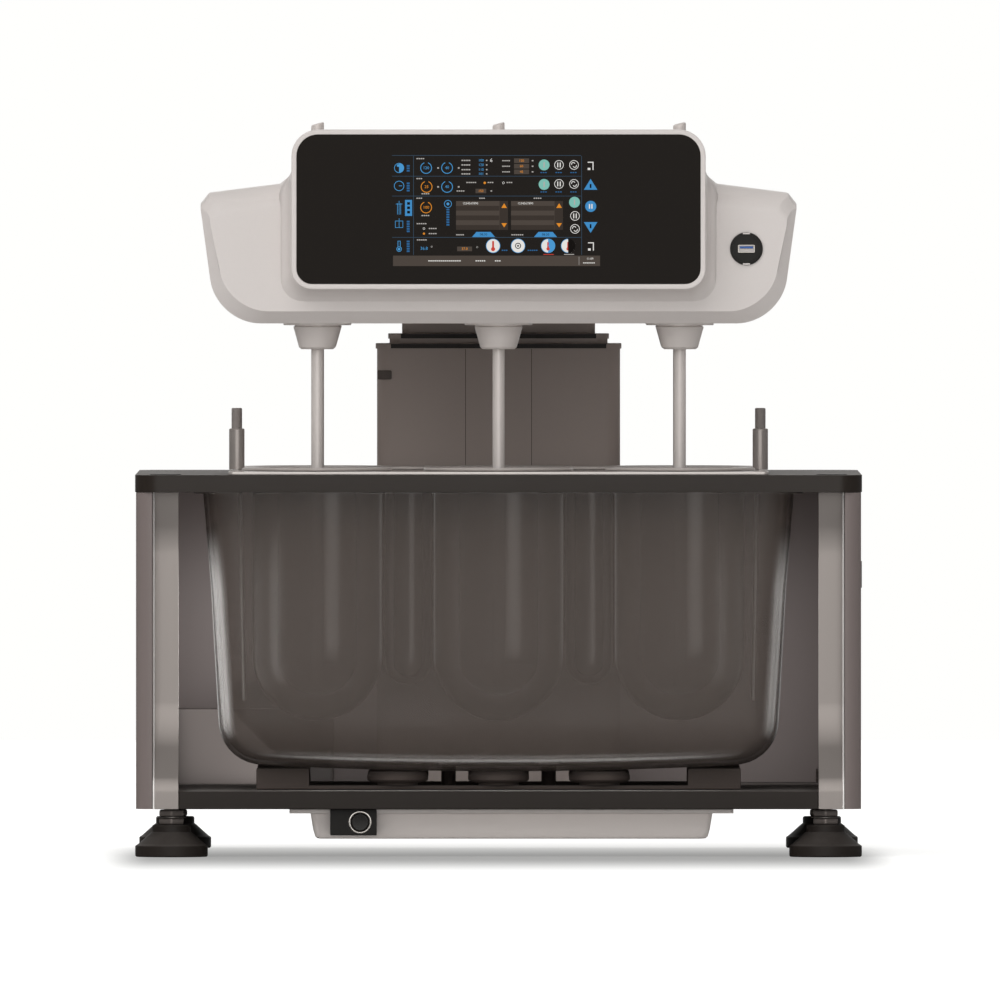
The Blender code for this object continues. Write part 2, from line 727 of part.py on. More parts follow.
def make_switch_panel(materials):
    top = base_bottom_z - GAP
    face = switch_face_y()
    body = block(
        around(SWITCH_PANEL_OFFSET, SWITCH_PANEL_WIDTH), (face, face + SWITCH_PANEL_DEPTH),
        (top - SWITCH_PANEL_HEIGHT, top))
    panel = add_part("switch_panel", body, materials["black_plastic"])
    pocket_radius = bore_radius(BUTTON_DIAMETER / 2, GAP, ROUND_STEPS)
    pocket_floor = face - BUTTON_PROUD + BUTTON_CAP_DEPTH + BUTTON_TRAVEL + GAP
    pocket = rod(button_place(), pocket_radius, face - OVERRUN, pocket_floor, ROUND_STEPS, "y")
    stem_radius = bore_radius(BUTTON_STEM_DIAMETER / 2, GAP, SMALL_STEPS)
    hole = rod(button_place(), stem_radius, face, face + SWITCH_PANEL_DEPTH + OVERRUN, SMALL_STEPS, "y")
    change(panel, "DIFFERENCE", pocket)
    change(panel, "DIFFERENCE", hole)


def make_power_button(materials):
    x, z = button_place()
    front = switch_face_y() - BUTTON_PROUD
    cap_back = front + BUTTON_CAP_DEPTH
    radius = BUTTON_DIAMETER / 2
    profile = [
        (0, front), (radius - BUTTON_BEVEL, front), (radius, front + BUTTON_BEVEL), (radius, cap_back),
        (BUTTON_STEM_DIAMETER / 2, cap_back), (BUTTON_STEM_DIAMETER / 2, front + BUTTON_STEM_REACH),
        (0, front + BUTTON_STEM_REACH),
    ]
    axis = add_axis("power_button_axis", (x, front, z))
    add_part("power_button", turned(profile, (x, z), ROUND_STEPS, "y"), materials["button"], axis)


def tub_ring(side, depth, corner, level, bow):
    # front half from left to right, then the back half the same way round, so that
    # each point has a partner across the bath at the same X
    flat = side - corner
    front = arc((-flat, 0), (corner, corner), 180, 270, TUB_FILLET_STEPS)
    for column in range(1, TUB_FLOOR_COLUMNS):
        front.append((-flat + 2 * flat * column / TUB_FLOOR_COLUMNS, -corner))
    front += arc((flat, 0), (corner, corner), 270, 360, TUB_FILLET_STEPS)
    half = [(x, y - depth + corner) for x, y in front]
    points = [(x, rows_y + y) for x, y in half] + [(x, rows_y - y) for x, y in reversed(half)]
    ring = []
    for x, y in points:
        share = min(abs(x) / (tub_half_width - TUB_TAPER - TUB_SIDE_FILLET), 1.0)
        ring.append(Vector((x, y, level + bow * share * share)))
    return ring


def tub_skin(wall):
    # one side of the bath's wall, from its floor up to its rim
    rings = []
    for step in range(TUB_FILLET_STEPS + 1):
        angle = math.radians(90 * step / TUB_FILLET_STEPS)
        side_cut = TUB_SIDE_FILLET * (1 - math.sin(angle))
        front_cut = TUB_FRONT_FILLET * (1 - math.sin(angle))
        rise = (TUB_SIDE_FILLET - wall) * (1 - math.cos(angle))
        side = tub_half_width - TUB_TAPER - wall - side_cut
        depth = tub_half_depth - TUB_TAPER - wall - front_cut
        corner = TUB_CORNER_RADIUS - wall
        bow = TUB_BOW * math.cos(angle)
        lift = TUB_BOW - bow
        rings.append(tub_ring(side, depth, corner, tub_floor_z + wall + rise + lift, bow))
    rim = tub_top_z - TUB_RIM_THICKNESS
    rings.append(tub_ring(tub_half_width - wall, tub_half_depth - wall, TUB_CORNER_RADIUS - wall, rim, 0))
    return rings


def make_water_bath(materials):
    outer = tub_skin(0)
    inner = tub_skin(TUB_WALL)
    flange = [
        tub_ring(tub_half_width + TUB_RIM_WIDTH, tub_half_depth + TUB_RIM_WIDTH, TUB_CORNER_RADIUS, level, 0)
        for level in (tub_top_z - TUB_RIM_THICKNESS, tub_top_z)
    ]
    lip = [
        tub_ring(
            tub_half_width - TUB_WALL, tub_half_depth - TUB_WALL, TUB_CORNER_RADIUS - TUB_WALL, tub_top_z, 0)
    ]
    bath = add_part("water_bath", skin(outer + flange + lip + inner[::-1], strips=True), materials["smoky"])
    levels = (tub_floor_z - OVERRUN, tub_floor_z + TUB_WALL + OVERRUN)
    radius = HEATER_PIPE_DIAMETER / 2 + GAP
    change(bath, "DIFFERENCE", *[rod(place, radius, *levels, SMALL_STEPS) for place in pipe_places()])


def make_bath_supports(materials):
    bar_top = base_top_z + GAP + SUPPORT_BAR_HEIGHT
    cap_low = support_top_z - PAD_CAP_HEIGHT
    cap_radius = PAD_DIAMETER / 2
    end_x = tub_half_width - TUB_TAPER - END_BLOCK_INSET
    reach = tub_half_depth - TUB_TAPER - SUPPORT_INSET
    for name, y in (("bath_support_front", rows_y - reach), ("bath_support_rear", rows_y + reach)):
        bar = block((SINK - end_x, end_x - SINK), around(y, SUPPORT_BAR_WIDTH), (base_top_z + GAP, bar_top))
        support = add_part(name, bar, materials["rubber"])
        pads = []
        for column in (-1, 0, 1):
            profile = [
                (0, bar_top - SINK), (PAD_STEM_DIAMETER / 2, bar_top - SINK),
                (PAD_STEM_DIAMETER / 2, cap_low), (cap_radius, cap_low),
                (cap_radius, support_top_z - PAD_CAP_BEVEL), (cap_radius - PAD_CAP_BEVEL, support_top_z),
                (0, support_top_z),
            ]
            pads.append(turned(profile, (column * PAD_PITCH, y), ROUND_STEPS))
        for side in (-1, 1):
            across = sorted((side * end_x, side * (end_x - END_BLOCK_LENGTH)))
            along = around(y, SUPPORT_BAR_WIDTH + SINK)
            pads.append(block(across, along, (bar_top - SINK, support_top_z + END_BLOCK_RISE)))
        change(support, "UNION", *pads)


def make_deck(materials):
    outline = rounded_rectangle(
        (-body_half_width, body_half_width), (front_y, body_half_depth),
        DECK_CORNER_RADIUS, DECK_CORNER_RADIUS)
    deck = add_part("deck_frame", prism(outline, "z", deck_bottom_z, deck_top_z), materials["frame"])
    levels = (deck_bottom_z - OVERRUN, deck_top_z + OVERRUN)
    side = tub_half_width - PLATE_EDGE - DECK_LEDGE
    reach = tub_half_depth - TUB_WALL
    window = prism(
        rounded_rectangle((-side, side), around(rows_y, 2 * reach), PLATE_CORNER_RADIUS, PLATE_CORNER_RADIUS),
        "z", *levels)
    column_room = prism(column_outline(0, -GAP), "z", *levels)
    change(deck, "DIFFERENCE", window)
    change(deck, "DIFFERENCE", column_room)


def plate_half_width():
    return tub_half_width - PLATE_EDGE


def probe_places():
    side = plate_half_width() - PROBE_EDGE_ROOM
    return [(-side, rows_y), (side, rows_y)]


def tube_places():
    return [(-STATION_PITCH / 2, rows_y), (STATION_PITCH / 2, rows_y)]


def make_vessel_plate(materials):
    side = plate_half_width()
    back = tub_back_y + COLUMN_ROOM / 2
    outline = rounded_rectangle(
        (-side, side), (front_y + PLATE_FRONT_SETBACK, back), PLATE_CORNER_RADIUS, PLATE_CORNER_RADIUS)
    low = deck_top_z + GAP
    plate = add_part("vessel_plate", prism(outline, "z", low, plate_top_z), materials["polished"])
    levels = (low - OVERRUN, plate_top_z + OVERRUN)
    holes = [rod(place, VESSEL_DIAMETER / 2 + GAP, *levels, GLASS_STEPS) for place in stations]
    holes += [rod(place, TUBE_DIAMETER / 2 + GAP, *levels, SMALL_STEPS) for place in tube_places()]
    holes += [rod(place, PROBE_ROD_DIAMETER / 2 + GAP, *levels, SMALL_STEPS) for place in probe_places()]
    change(plate, "DIFFERENCE", *holes)


def round_bottomed(place, diameter, wall, bottom, flange_width, steps, bowl_steps):
    # glass with a hemispherical bottom, hung by a flange on the vessel plate
    radius = diameter / 2
    middle = bottom + radius
    flange_low = plate_top_z + GAP
    flange_top = flange_low + VESSEL_FLANGE_THICKNESS
    outer = arc((0, middle), (radius, radius), -90, 0, bowl_steps)
    inner = arc((0, middle), (radius - wall, radius - wall), 0, -90, bowl_steps)
    rim = [
        (radius, flange_low), (radius + flange_width, flange_low),
        (radius + flange_width, flange_top), (radius - wall, flange_top),
    ]
    profile = outer + rim + inner
    profile[0] = (0, bottom)
    profile[-1] = (0, bottom + wall)
    return turned(profile, place, steps)


def make_glassware(materials):
    for number, place in enumerate(stations, 1):
        glass = round_bottomed(
            place, VESSEL_DIAMETER, VESSEL_WALL, vessel_bottom_z, VESSEL_FLANGE_WIDTH,
            GLASS_STEPS, BOWL_STEPS)
        add_part(f"vessel_{number}", glass, materials["glass"])
    for name, place in zip(("medium_tube_left", "medium_tube_right"), tube_places()):
        glass = round_bottomed(
            place, TUBE_DIAMETER, TUBE_WALL, plate_top_z - TUBE_DEPTH, TUBE_FLANGE_WIDTH,
            SMALL_STEPS, CORNER_STEPS)
        add_part(name, glass, materials["glass"])


def make_probes(materials):
    sleeve_low = plate_top_z + GAP
    sleeve_top = sleeve_low + PROBE_SLEEVE_HEIGHT
    stub_top = sleeve_top + PROBE_STUB_HEIGHT
    tip = plate_top_z - PROBE_ROD_DEPTH
    profile = [
        (0, tip), (PROBE_ROD_DIAMETER / 2, tip), (PROBE_ROD_DIAMETER / 2, sleeve_low),
        (PROBE_SLEEVE_DIAMETER / 2, sleeve_low), (PROBE_SLEEVE_DIAMETER / 2, sleeve_top),
        (PROBE_STUB_DIAMETER / 2, sleeve_top), (PROBE_STUB_DIAMETER / 2, stub_top), (0, stub_top),
    ]
    for name, place in zip(("temperature_probe_left", "temperature_probe_right"), probe_places()):
        probe = turned(profile, place, SMALL_STEPS)
        for vert in probe.verts:
            if vert.co.z < sleeve_low - GAP:
                vert.co.x -= math.copysign(PROBE_LEAN, place[0])
        # the rod stays upright through its hole and leans only below the plate
        bmesh.ops.bisect_plane(
            probe, geom=probe.verts[:] + probe.edges[:] + probe.faces[:],
            plane_co=(0, 0, deck_bottom_z), plane_no=(0, 0, 1))
        for vert in probe.verts:
            if abs(vert.co.z - deck_bottom_z) < GAP:
                share = (sleeve_low - deck_bottom_z) / (sleeve_low - tip)
                vert.co.x += math.copysign(PROBE_LEAN, place[0]) * share
        add_part(name, probe, materials["steel"])


def column_outline(stage, shrink):
    # plan of one stage of the column: 0 outer, 1 middle, 2 inner
    cut = 2 * (stage * COLUMN_STEP + shrink)
    radius = COLUMN_RADIUS - shrink - stage * COLUMN_SHEET
    return rounded_rectangle(
        around(0, COLUMN_WIDTH - cut), around(column_y, COLUMN_DEPTH - cut), radius, radius)


def column_stage(stage, low, high, guided, lipped):
    # sheet tube with a sliding guide round its foot and a guide lip round its mouth
    side = COLUMN_SHEET
    foot = COLUMN_SHEET + RUNNING_GAP - COLUMN_STEP if guided else 0
    mouth = COLUMN_STEP - RUNNING_GAP if lipped else side
    proud = -COLUMN_LIP_PROUD if lipped else 0
    lip = COLUMN_LIP_HEIGHT
    steps = [(foot, low), (foot, low + GUIDE_HEIGHT)] if guided else [(0, low)]
    if guided:
        steps.append((0, low + GUIDE_HEIGHT))
    if lipped:
        steps += [(0, high - lip), (proud, high - lip), (proud, high), (mouth, high), (mouth, high - lip)]
        steps += [(side, high - lip), (side, low)]
    else:
        steps += [(0, high), (side, high), (side, low)]
    return skin([lay(column_outline(stage, shrink), "z", level) for shrink, level in steps], closed=True)


def make_column(materials, middle_axis, head_axis):
    outer = column_stage(0, base_top_z + GAP, outer_top_z, False, True)
    middle_low = base_top_z + MIDDLE_BOTTOM_ROOM
    middle = column_stage(1, middle_low, middle_top_z, True, True)
    inner_low = base_top_z + INNER_BOTTOM_ROOM
    inner = column_stage(2, inner_low, head_bottom_z - GAP, True, False)
    add_part("column_outer", outer, materials["column"])
    add_part("column_middle", middle, materials["column"], middle_axis)
    add_part("column_inner", inner, materials["column"], head_axis)


def carriage_half_width():
    return COLUMN_WIDTH / 2 - COLUMN_SHEET - GAP - 2 * COLUMN_STEP


def guide_rod_places():
    reach = carriage_half_width() - GUIDE_ROD_SIDE_ROOM - GUIDE_ROD_DIAMETER / 2
    return [(-reach, column_y), (reach, column_y)]


def make_lift(materials, head_axis):
    plate_top = base_top_z + GAP + LIFT_PLATE_HEIGHT
    tie_top = head_bottom_z - GUIDE_TOP_ROOM
    tie_low = tie_top - GUIDE_TIE_HEIGHT
    rod_radius = GUIDE_ROD_DIAMETER / 2
    push_radius = ACTUATOR_DIAMETER / 2 - ACTUATOR_WALL
    plate = block(
        around(0, 2 * (carriage_half_width() - LIFT_PLATE_SIDE_ROOM)),
        around(column_y, LIFT_PLATE_DEPTH), (base_top_z + GAP, plate_top))
    guide = add_part("lift_guide", plate, materials["steel"])
    rods = [
        rod(place, rod_radius, plate_top - SINK, tie_low + SINK, SMALL_STEPS) for place in guide_rod_places()]
    tie_reach = guide_rod_places()[1][0] + GUIDE_ROD_DIAMETER
    tie = block((-tie_reach, tie_reach), around(column_y, GUIDE_TIE_DEPTH), (tie_low, tie_top))
    change(guide, "UNION", *rods)
    change(guide, "UNION", tie)
    change(guide, "DIFFERENCE", rod(
        (0, column_y), bore_radius(push_radius, RUNNING_GAP, SMALL_STEPS),
        tie_low - OVERRUN, tie_top + OVERRUN, SMALL_STEPS))

    body_low = plate_top + GAP
    body_top = tie_low - ACTUATOR_TOP_ROOM
    floor = body_low + ACTUATOR_FLOOR
    bore = push_radius + GAP
    profile = [
        (0, body_low), (ACTUATOR_DIAMETER / 2, body_low), (ACTUATOR_DIAMETER / 2, body_top),
        (bore, body_top), (bore, floor), (0, floor),
    ]
    add_part("lift_actuator_body", turned(profile, (0, column_y), SMALL_STEPS), materials["bare_metal"])
    push_rod = rod((0, column_y), push_radius, floor + ACTUATOR_ROD_ROOM, head_bottom_z - GAP, SMALL_STEPS)
    add_part("lift_actuator_rod", push_rod, materials["steel"], head_axis)

    half = carriage_half_width()
    low = base_top_z + INNER_BOTTOM_ROOM + CARRIAGE_LIFT
    across = (-half, half)
    along = around(column_y, 2 * half - COLUMN_WIDTH + COLUMN_DEPTH)
    radius = COLUMN_RADIUS - 2 * COLUMN_SHEET
    body = prism(rounded_rectangle(across, along, radius, radius), "z", low, low + CARRIAGE_HEIGHT)
    carriage = add_part("lift_carriage", body, materials["aluminium"], head_axis)
    levels = (low - OVERRUN, low + CARRIAGE_HEIGHT + OVERRUN)
    holes = [rod(place, rod_radius + GAP, *levels, SMALL_STEPS) for place in guide_rod_places()]
    holes.append(rod((0, column_y), ACTUATOR_DIAMETER / 2 + RUNNING_GAP, *levels, SMALL_STEPS))
    change(carriage, "DIFFERENCE", *holes)


def head_outline(side_inset, low_inset, top_inset):
    # seen from the front: rounded lower corners, leaning sides, shoulders and a raised middle
    half = STATION_PITCH + HEAD_SIDE_ROOM - side_inset
    low = head_bottom_z + low_inset
    waist_x = half - HEAD_WAIST_INSET
    waist_z = head_bottom_z + HEAD_WAIST_RISE
    flat_x = half - HEAD_FLAT_INSET + side_inset * (1 - HEAD_FLAT_SHARE)
    shoulder_z = head_bottom_z + HEAD_SHOULDER_RISE - top_inset
    shoulder_top = shoulder_z + HEAD_SHOULDER_HEIGHT
    hump_x = STATION_PITCH + BLOCK_SIDE_ROOM - HUMP_INSET - min(side_inset, top_inset)
    foot_x = hump_x + HUMP_FOOT_WIDTH
    foot_z = shoulder_top + HEAD_SHOULDER_SLOPE
    top = head_top_z - top_inset
    half_outline = arc((flat_x, waist_z), (waist_x - flat_x, waist_z - low), 270, 360, 2 * CORNER_STEPS)
    half_outline += [(half, shoulder_z), (half - HEAD_SHOULDER_CUT, shoulder_top), (foot_x, foot_z)]
    blend_x, blend_z = HUMP_BLEND_SHARES
    half_outline.append((foot_x - HUMP_FOOT_WIDTH * blend_x, foot_z + HUMP_FOOT_HEIGHT * blend_z))
    half_outline += [(hump_x, foot_z + HUMP_FOOT_HEIGHT)]
    half_outline += arc(
        (hump_x - HUMP_RADIUS, top - HUMP_RADIUS), (HUMP_RADIUS, HUMP_RADIUS), 0, 90, CORNER_STEPS)
    return half_outline + [(-x, z) for x, z in reversed(half_outline)]


def make_head_shells(materials, head_axis):
    face_y = row_front_y - HEAD_FRONT_ROOM
    split_y = face_y + HEAD_SPLIT
    back_y = column_y + COLUMN_DEPTH / 2 + HEAD_REAR_ROOM
    face = head_outline(HEAD_SIDE_CHAMFER, HEAD_BOTTOM_CHAMFER, 0)
    full = head_outline(0, 0, 0)
    tail = head_outline(HEAD_REAR_INSET, 0, HEAD_REAR_INSET)
    round_y = back_y - HEAD_REAR_ROUND
    chamfer_y = face_y + HEAD_FRONT_CHAMFER

    outer = [
        lay(face, "y", face_y), lay(full, "y", chamfer_y), lay(full, "y", split_y - GAP / 2),
    ]
    inner = [
        lay(inset(face, HEAD_WALL), "y", face_y + HEAD_WALL),
        lay(inset(full, HEAD_WALL), "y", chamfer_y + HEAD_WALL / 2),
        lay(inset(full, HEAD_WALL), "y", split_y + OVERRUN),
    ]
    front = add_part("head_front_shell", skin(outer), materials["head"], head_axis)
    change(front, "UNION", screen_block(face_y))
    change(front, "DIFFERENCE", skin(inner))

    outer = [lay(full, "y", split_y + GAP / 2), lay(full, "y", round_y), lay(tail, "y", back_y)]
    inner = [
        lay(inset(full, HEAD_WALL), "y", split_y - OVERRUN),
        lay(inset(full, HEAD_WALL), "y", round_y - HEAD_WALL / 2),
        lay(inset(tail, HEAD_WALL), "y", back_y - HEAD_WALL),
    ]
    rear = add_part("head_rear_cover", skin(outer), materials["head"], head_axis)
    change(rear, "DIFFERENCE", skin(inner))

    block_y = face_y - BLOCK_DEPTH
    recess = prism(screen_outline(-GAP), "y", block_y - OVERRUN, block_y + SCREEN_THICKNESS + GAP)
    room = prism(
        screen_outline(SCREEN_LEDGE), "y", block_y + SCREEN_THICKNESS, face_y + HEAD_WALL + OVERRUN)
    usb_hole = rod(
        usb_place(), USB_BODY_DIAMETER / 2 + GAP, face_y - OVERRUN, face_y + OVERRUN + HEAD_WALL,
        ROUND_STEPS, "y")
    hole_radius = SHAFT_DIAMETER / 2 + SHAFT_HOLE_ROOM
    holes = [
        rod(place, hole_radius, head_top_z - OVERRUN - HEAD_WALL, head_top_z + OVERRUN, SMALL_STEPS)
        for place in stations
    ]
    change(front, "DIFFERENCE", recess)
    change(front, "DIFFERENCE", room)
    change(front, "DIFFERENCE", usb_hole, *holes[:3])
    change(rear, "DIFFERENCE", *holes[3:])
    for shell in (front, rear):
        change(shell, "DIFFERENCE", prism(
            carrier_outline(-GAP), "z", head_bottom_z - OVERRUN, head_bottom_z + CARRIER_THICKNESS))


def block_outline(side, low, top, low_radius, top_radius, waist, tuck):
    # half outline from the low corner up, with room for the sides to lean in above the shoulders
    half = arc((side - low_radius, low + low_radius), (low_radius, low_radius), 270, 360, CORNER_STEPS)
    half += [(side, waist), (side - tuck, waist + HUMP_FOOT_HEIGHT)]
    upper = side - tuck
    half += arc((upper - top_radius, top - top_radius), (top_radius, top_radius), 0, 90, CORNER_STEPS)
    return half + [(-x, z) for x, z in reversed(half)]


def screen_block(face_y):
    low = head_bottom_z + BLOCK_LOW_EDGE
    top = low + BLOCK_HEIGHT
    side = STATION_PITCH + BLOCK_SIDE_ROOM
    waist = head_bottom_z + HEAD_SHOULDER_RISE + HEAD_SHOULDER_HEIGHT + HEAD_SHOULDER_SLOPE
    front = block_outline(side, low, top, BLOCK_LOW_RADIUS, BLOCK_TOP_RADIUS, waist, 0)
    back = block_outline(
        side + BLOCK_DRAFT, low - BLOCK_LOW_DRAFT, top, BLOCK_LOW_RADIUS + BLOCK_DRAFT / 2, BLOCK_TOP_RADIUS,
        waist - HUMP_FOOT_HEIGHT / 2, BLOCK_DRAFT)
    # the draft is slight at first and flares next to the head
    middle = [
        tuple(Vector(near).lerp(Vector(far), BLOCK_FLARE_SHARE)) for near, far in zip(front, back)
    ]
    return skin([
        lay(front, "y", face_y - BLOCK_DEPTH), lay(middle, "y", face_y - BLOCK_DEPTH * BLOCK_FLARE_SHARE),
        lay(back, "y", face_y + SINK),
    ])


def screen_outline(shrink):
    low = head_bottom_z + BLOCK_LOW_EDGE
    top = low + BLOCK_HEIGHT
    side = STATION_PITCH + BLOCK_SIDE_ROOM
    cut = BEZEL_WIDTH + shrink
    return rounded_rectangle(
        (cut - side, side - cut), (low + cut, top - cut), BLOCK_LOW_RADIUS - cut, BLOCK_TOP_RADIUS - cut)


def make_screen(materials, head_axis):
    front = row_front_y - HEAD_FRONT_ROOM - BLOCK_DEPTH
    glass = prism(screen_outline(0), "y", front, front + SCREEN_THICKNESS)
    add_part("touch_screen", glass, materials["screen"], head_axis)

    back = front + SCREEN_THICKNESS + GAP
    middle_z = head_bottom_z + BLOCK_LOW_EDGE + BLOCK_HEIGHT / 2
    board_y = back + BOARD_STANDOFF
    board = add_part("control_board", block(
        around(0, BOARD_WIDTH), (board_y, board_y + BOARD_THICKNESS), around(middle_z, BOARD_HEIGHT)),
        materials["board"], head_axis)
    post_x = BOARD_WIDTH / 2 - BOARD_POST_INSET
    post_z = BOARD_HEIGHT / 2 - BOARD_POST_INSET
    change(board, "UNION", *[
        rod((side * post_x, middle_z + level * post_z), BOARD_POST_DIAMETER / 2, back,
            board_y + BOARD_THICKNESS / 2, SMALL_STEPS, "y")
        for side in (-1, 1) for level in (-1, 1)])


def usb_place():
    return STATION_PITCH + HEAD_SIDE_ROOM - USB_EDGE_ROOM, head_bottom_z + USB_RISE


def make_usb_port(materials, head_axis):
    face = row_front_y - HEAD_FRONT_ROOM - GAP
    profile = [
        (0, face - USB_FLANGE), (USB_DIAMETER / 2, face - USB_FLANGE), (USB_DIAMETER / 2, face),
        (USB_BODY_DIAMETER / 2, face), (USB_BODY_DIAMETER / 2, face + USB_BODY_DEPTH),
        (0, face + USB_BODY_DEPTH),
    ]
    port = add_part(
        "usb_port", turned(profile, usb_place(), ROUND_STEPS, "y"), materials["black_plastic"], head_axis)
    x, z = usb_place()
    change(port, "DIFFERENCE", block(
        around(x, USB_SLOT_WIDTH), (face - USB_FLANGE - OVERRUN, face - USB_FLANGE + USB_SLOT_DEPTH),
        around(z, USB_SLOT_HEIGHT)))


def carrier_outline(shrink):
    side = STATION_PITCH + CARRIER_SIDE_ROOM - shrink
    low = row_front_y - CARRIER_SIDE_ROOM + shrink
    high = column_y + COLUMN_DEPTH / 2 - CARRIER_REAR_INSET - shrink
    return [(-side, low), (side, low), (side, high), (-side, high)]


def belt_wheels():
    # centre, radius at the middle of the belt, and 1 inside the loop or -1 outside it
    drive = PULLEY_DIAMETER / 2 + BELT_GAP + BELT_THICKNESS / 2
    idle = idler_diameter / 2 + BELT_GAP + BELT_THICKNESS / 2
    wheels = [(place, drive, 1) for place in stations]
    tension, motor = idler_places()
    return [
        wheels[0], wheels[1], (tension, idle, -1), wheels[2],
        wheels[5], wheels[4], (motor, idle, -1), wheels[3],
    ]


def idler_places():
    # the tensioner and the motor pulley press the long runs of the belt inward
    reach = PULLEY_DIAMETER / 2 + BELT_THICKNESS + 2 * BELT_GAP + idler_diameter / 2 - BELT_DEFLECTION
    return (IDLER_SPACING, row_front_y - reach), (-IDLER_SPACING, row_back_y + reach)


def belt_loop(offset):
    # closed loop round the wheels, its outer side for a positive offset
    wheels = belt_wheels()
    headings = []
    for index, (centre, radius, side) in enumerate(wheels):
        following, next_radius, next_side = wheels[(index + 1) % len(wheels)]
        span = Vector(following) - Vector(centre)
        lean = math.asin((side * radius - next_side * next_radius) / span.length)
        headings.append(math.atan2(span.y, span.x) + lean)
    points = []
    for index, (centre, radius, side) in enumerate(wheels):
        start = headings[index - 1] - side * math.pi / 2
        sweep = side * ((side * (headings[index] - headings[index - 1])) % (2 * math.pi))
        steps = max(2, math.ceil(abs(math.degrees(sweep)) / BELT_STEP_ANGLE))
        reach = radius + side * offset
        for step in range(steps + 1):
            angle = start + sweep * step / steps
            points.append((centre[0] + reach * math.cos(angle), centre[1] + reach * math.sin(angle)))
    return points


def make_belt(materials, head_axis):
    half = BELT_THICKNESS / 2
    low, high = pulley_low_z + GAP, pulley_top_z - GAP
    inner, outer = belt_loop(-half), belt_loop(half)
    rings = [lay(inner, "z", low), lay(outer, "z", low), lay(outer, "z", high), lay(inner, "z", high)]
    add_part("drive_belt", skin(rings, closed=True), materials["rubber"], head_axis)


def make_carrier(materials, head_axis):
    plate = prism(carrier_outline(0), "z", head_bottom_z, carrier_top_z)
    carrier = add_part("spindle_carrier", plate, materials["aluminium"], head_axis)
    flange_low = head_bottom_z - NOSE_FLANGE_HEIGHT
    nose_low = flange_low - NOSE_HEIGHT + NOSE_FLANGE_HEIGHT
    hidden = head_bottom_z + CARRIER_THICKNESS / 2
    boss_top = pulley_low_z - GAP
    profile = [
        (0, nose_low), (NOSE_LOW_DIAMETER / 2 - NOSE_BEVEL, nose_low),
        (NOSE_LOW_DIAMETER / 2, nose_low + NOSE_BEVEL), (NOSE_TOP_DIAMETER / 2, flange_low),
        (NOSE_FLANGE_DIAMETER / 2, flange_low), (NOSE_FLANGE_DIAMETER / 2, hidden),
        (BOSS_DIAMETER / 2, hidden), (BOSS_DIAMETER / 2, boss_top), (0, boss_top),
    ]
    noses = [turned(profile, place, ROUND_STEPS) for place in stations]
    tension = idler_places()[0]
    post = [
        (0, hidden), (TENSION_BOSS_DIAMETER / 2, hidden), (TENSION_BOSS_DIAMETER / 2, boss_top),
        (TENSION_POST_DIAMETER / 2, boss_top), (TENSION_POST_DIAMETER / 2, pulley_top_z + SINK),
        (0, pulley_top_z + SINK),
    ]
    noses.append(turned(post, tension, SMALL_STEPS))
    change(carrier, "UNION", *noses)
    radius = bore_radius(spindle_radius(), GAP, SMALL_STEPS)
    change(carrier, "DIFFERENCE", *[
        rod(place, radius, nose_low - OVERRUN, boss_top + OVERRUN, SMALL_STEPS) for place in stations])


def spindle_radius():
    return SHAFT_DIAMETER / 2 + GAP + SPINDLE_WALL


def toothed_wheel(centre, diameter, teeth, low, high):
    points = []
    for tooth in range(teeth):
        for share, raised in TOOTH_SHARES:
            angle = 2 * math.pi * (tooth + share) / teeth
            radius = diameter / 2 - TOOTH_DEPTH * (1 - raised)
            points.append((centre[0] + radius * math.cos(angle), centre[1] + radius * math.sin(angle)))
    return prism(points, "z", low, high)


def blade_outline():
    # seen from the front: full width at the top, sides curving in to the lower edge
    half_top = BLADE_WIDTH / 2
    half_low = BLADE_FOOT_WIDTH / 2
    corner = [
        (half_low + (half_top - half_low) * math.sin(math.radians(90 * step / CORNER_STEPS)),
         blade_low_z + BLADE_HEIGHT * (1 - math.cos(math.radians(90 * step / CORNER_STEPS))))
        for step in range(CORNER_STEPS + 1)
    ]
    return corner + [(-x, z) for x, z in reversed(corner)]


def make_stations(materials, head_axis):
    spindle_low = head_bottom_z - NOSE_HEIGHT + SINK
    for number, (x, y) in enumerate(stations, 1):
        axis = add_axis(f"station_{number}_axis", (x, y, head_bottom_z))
        tube = rod((x, y), spindle_radius(), spindle_low, head_bottom_z + SPINDLE_RISE, SMALL_STEPS)
        spindle = add_part(f"spindle_{number}", tube, materials["steel"], axis)
        wheel = toothed_wheel((x, y), PULLEY_DIAMETER, SPINDLE_TEETH, pulley_low_z, pulley_top_z)
        change(spindle, "UNION", wheel)
        change(spindle, "DIFFERENCE", rod(
            (x, y), SHAFT_DIAMETER / 2 + GAP, spindle_low - OVERRUN,
            head_bottom_z + SPINDLE_RISE + OVERRUN, SMALL_STEPS))

        shaft = rod((x, y), SHAFT_DIAMETER / 2, blade_low_z + SINK, shaft_top_z, SMALL_STEPS)
        for vert in shaft.verts:
            if vert.co.z > head_top_z:
                vert.co.z += SHAFT_SLANT * (vert.co.x - x - SHAFT_DIAMETER / 2) / SHAFT_DIAMETER
        paddle = add_part(f"paddle_{number}", shaft, materials["steel"], axis)
        blade = prism(
            [(x + side, level) for side, level in blade_outline()], "y", y - BLADE_THICKNESS / 2,
            y + BLADE_THICKNESS / 2)
        change(paddle, "UNION", blade)


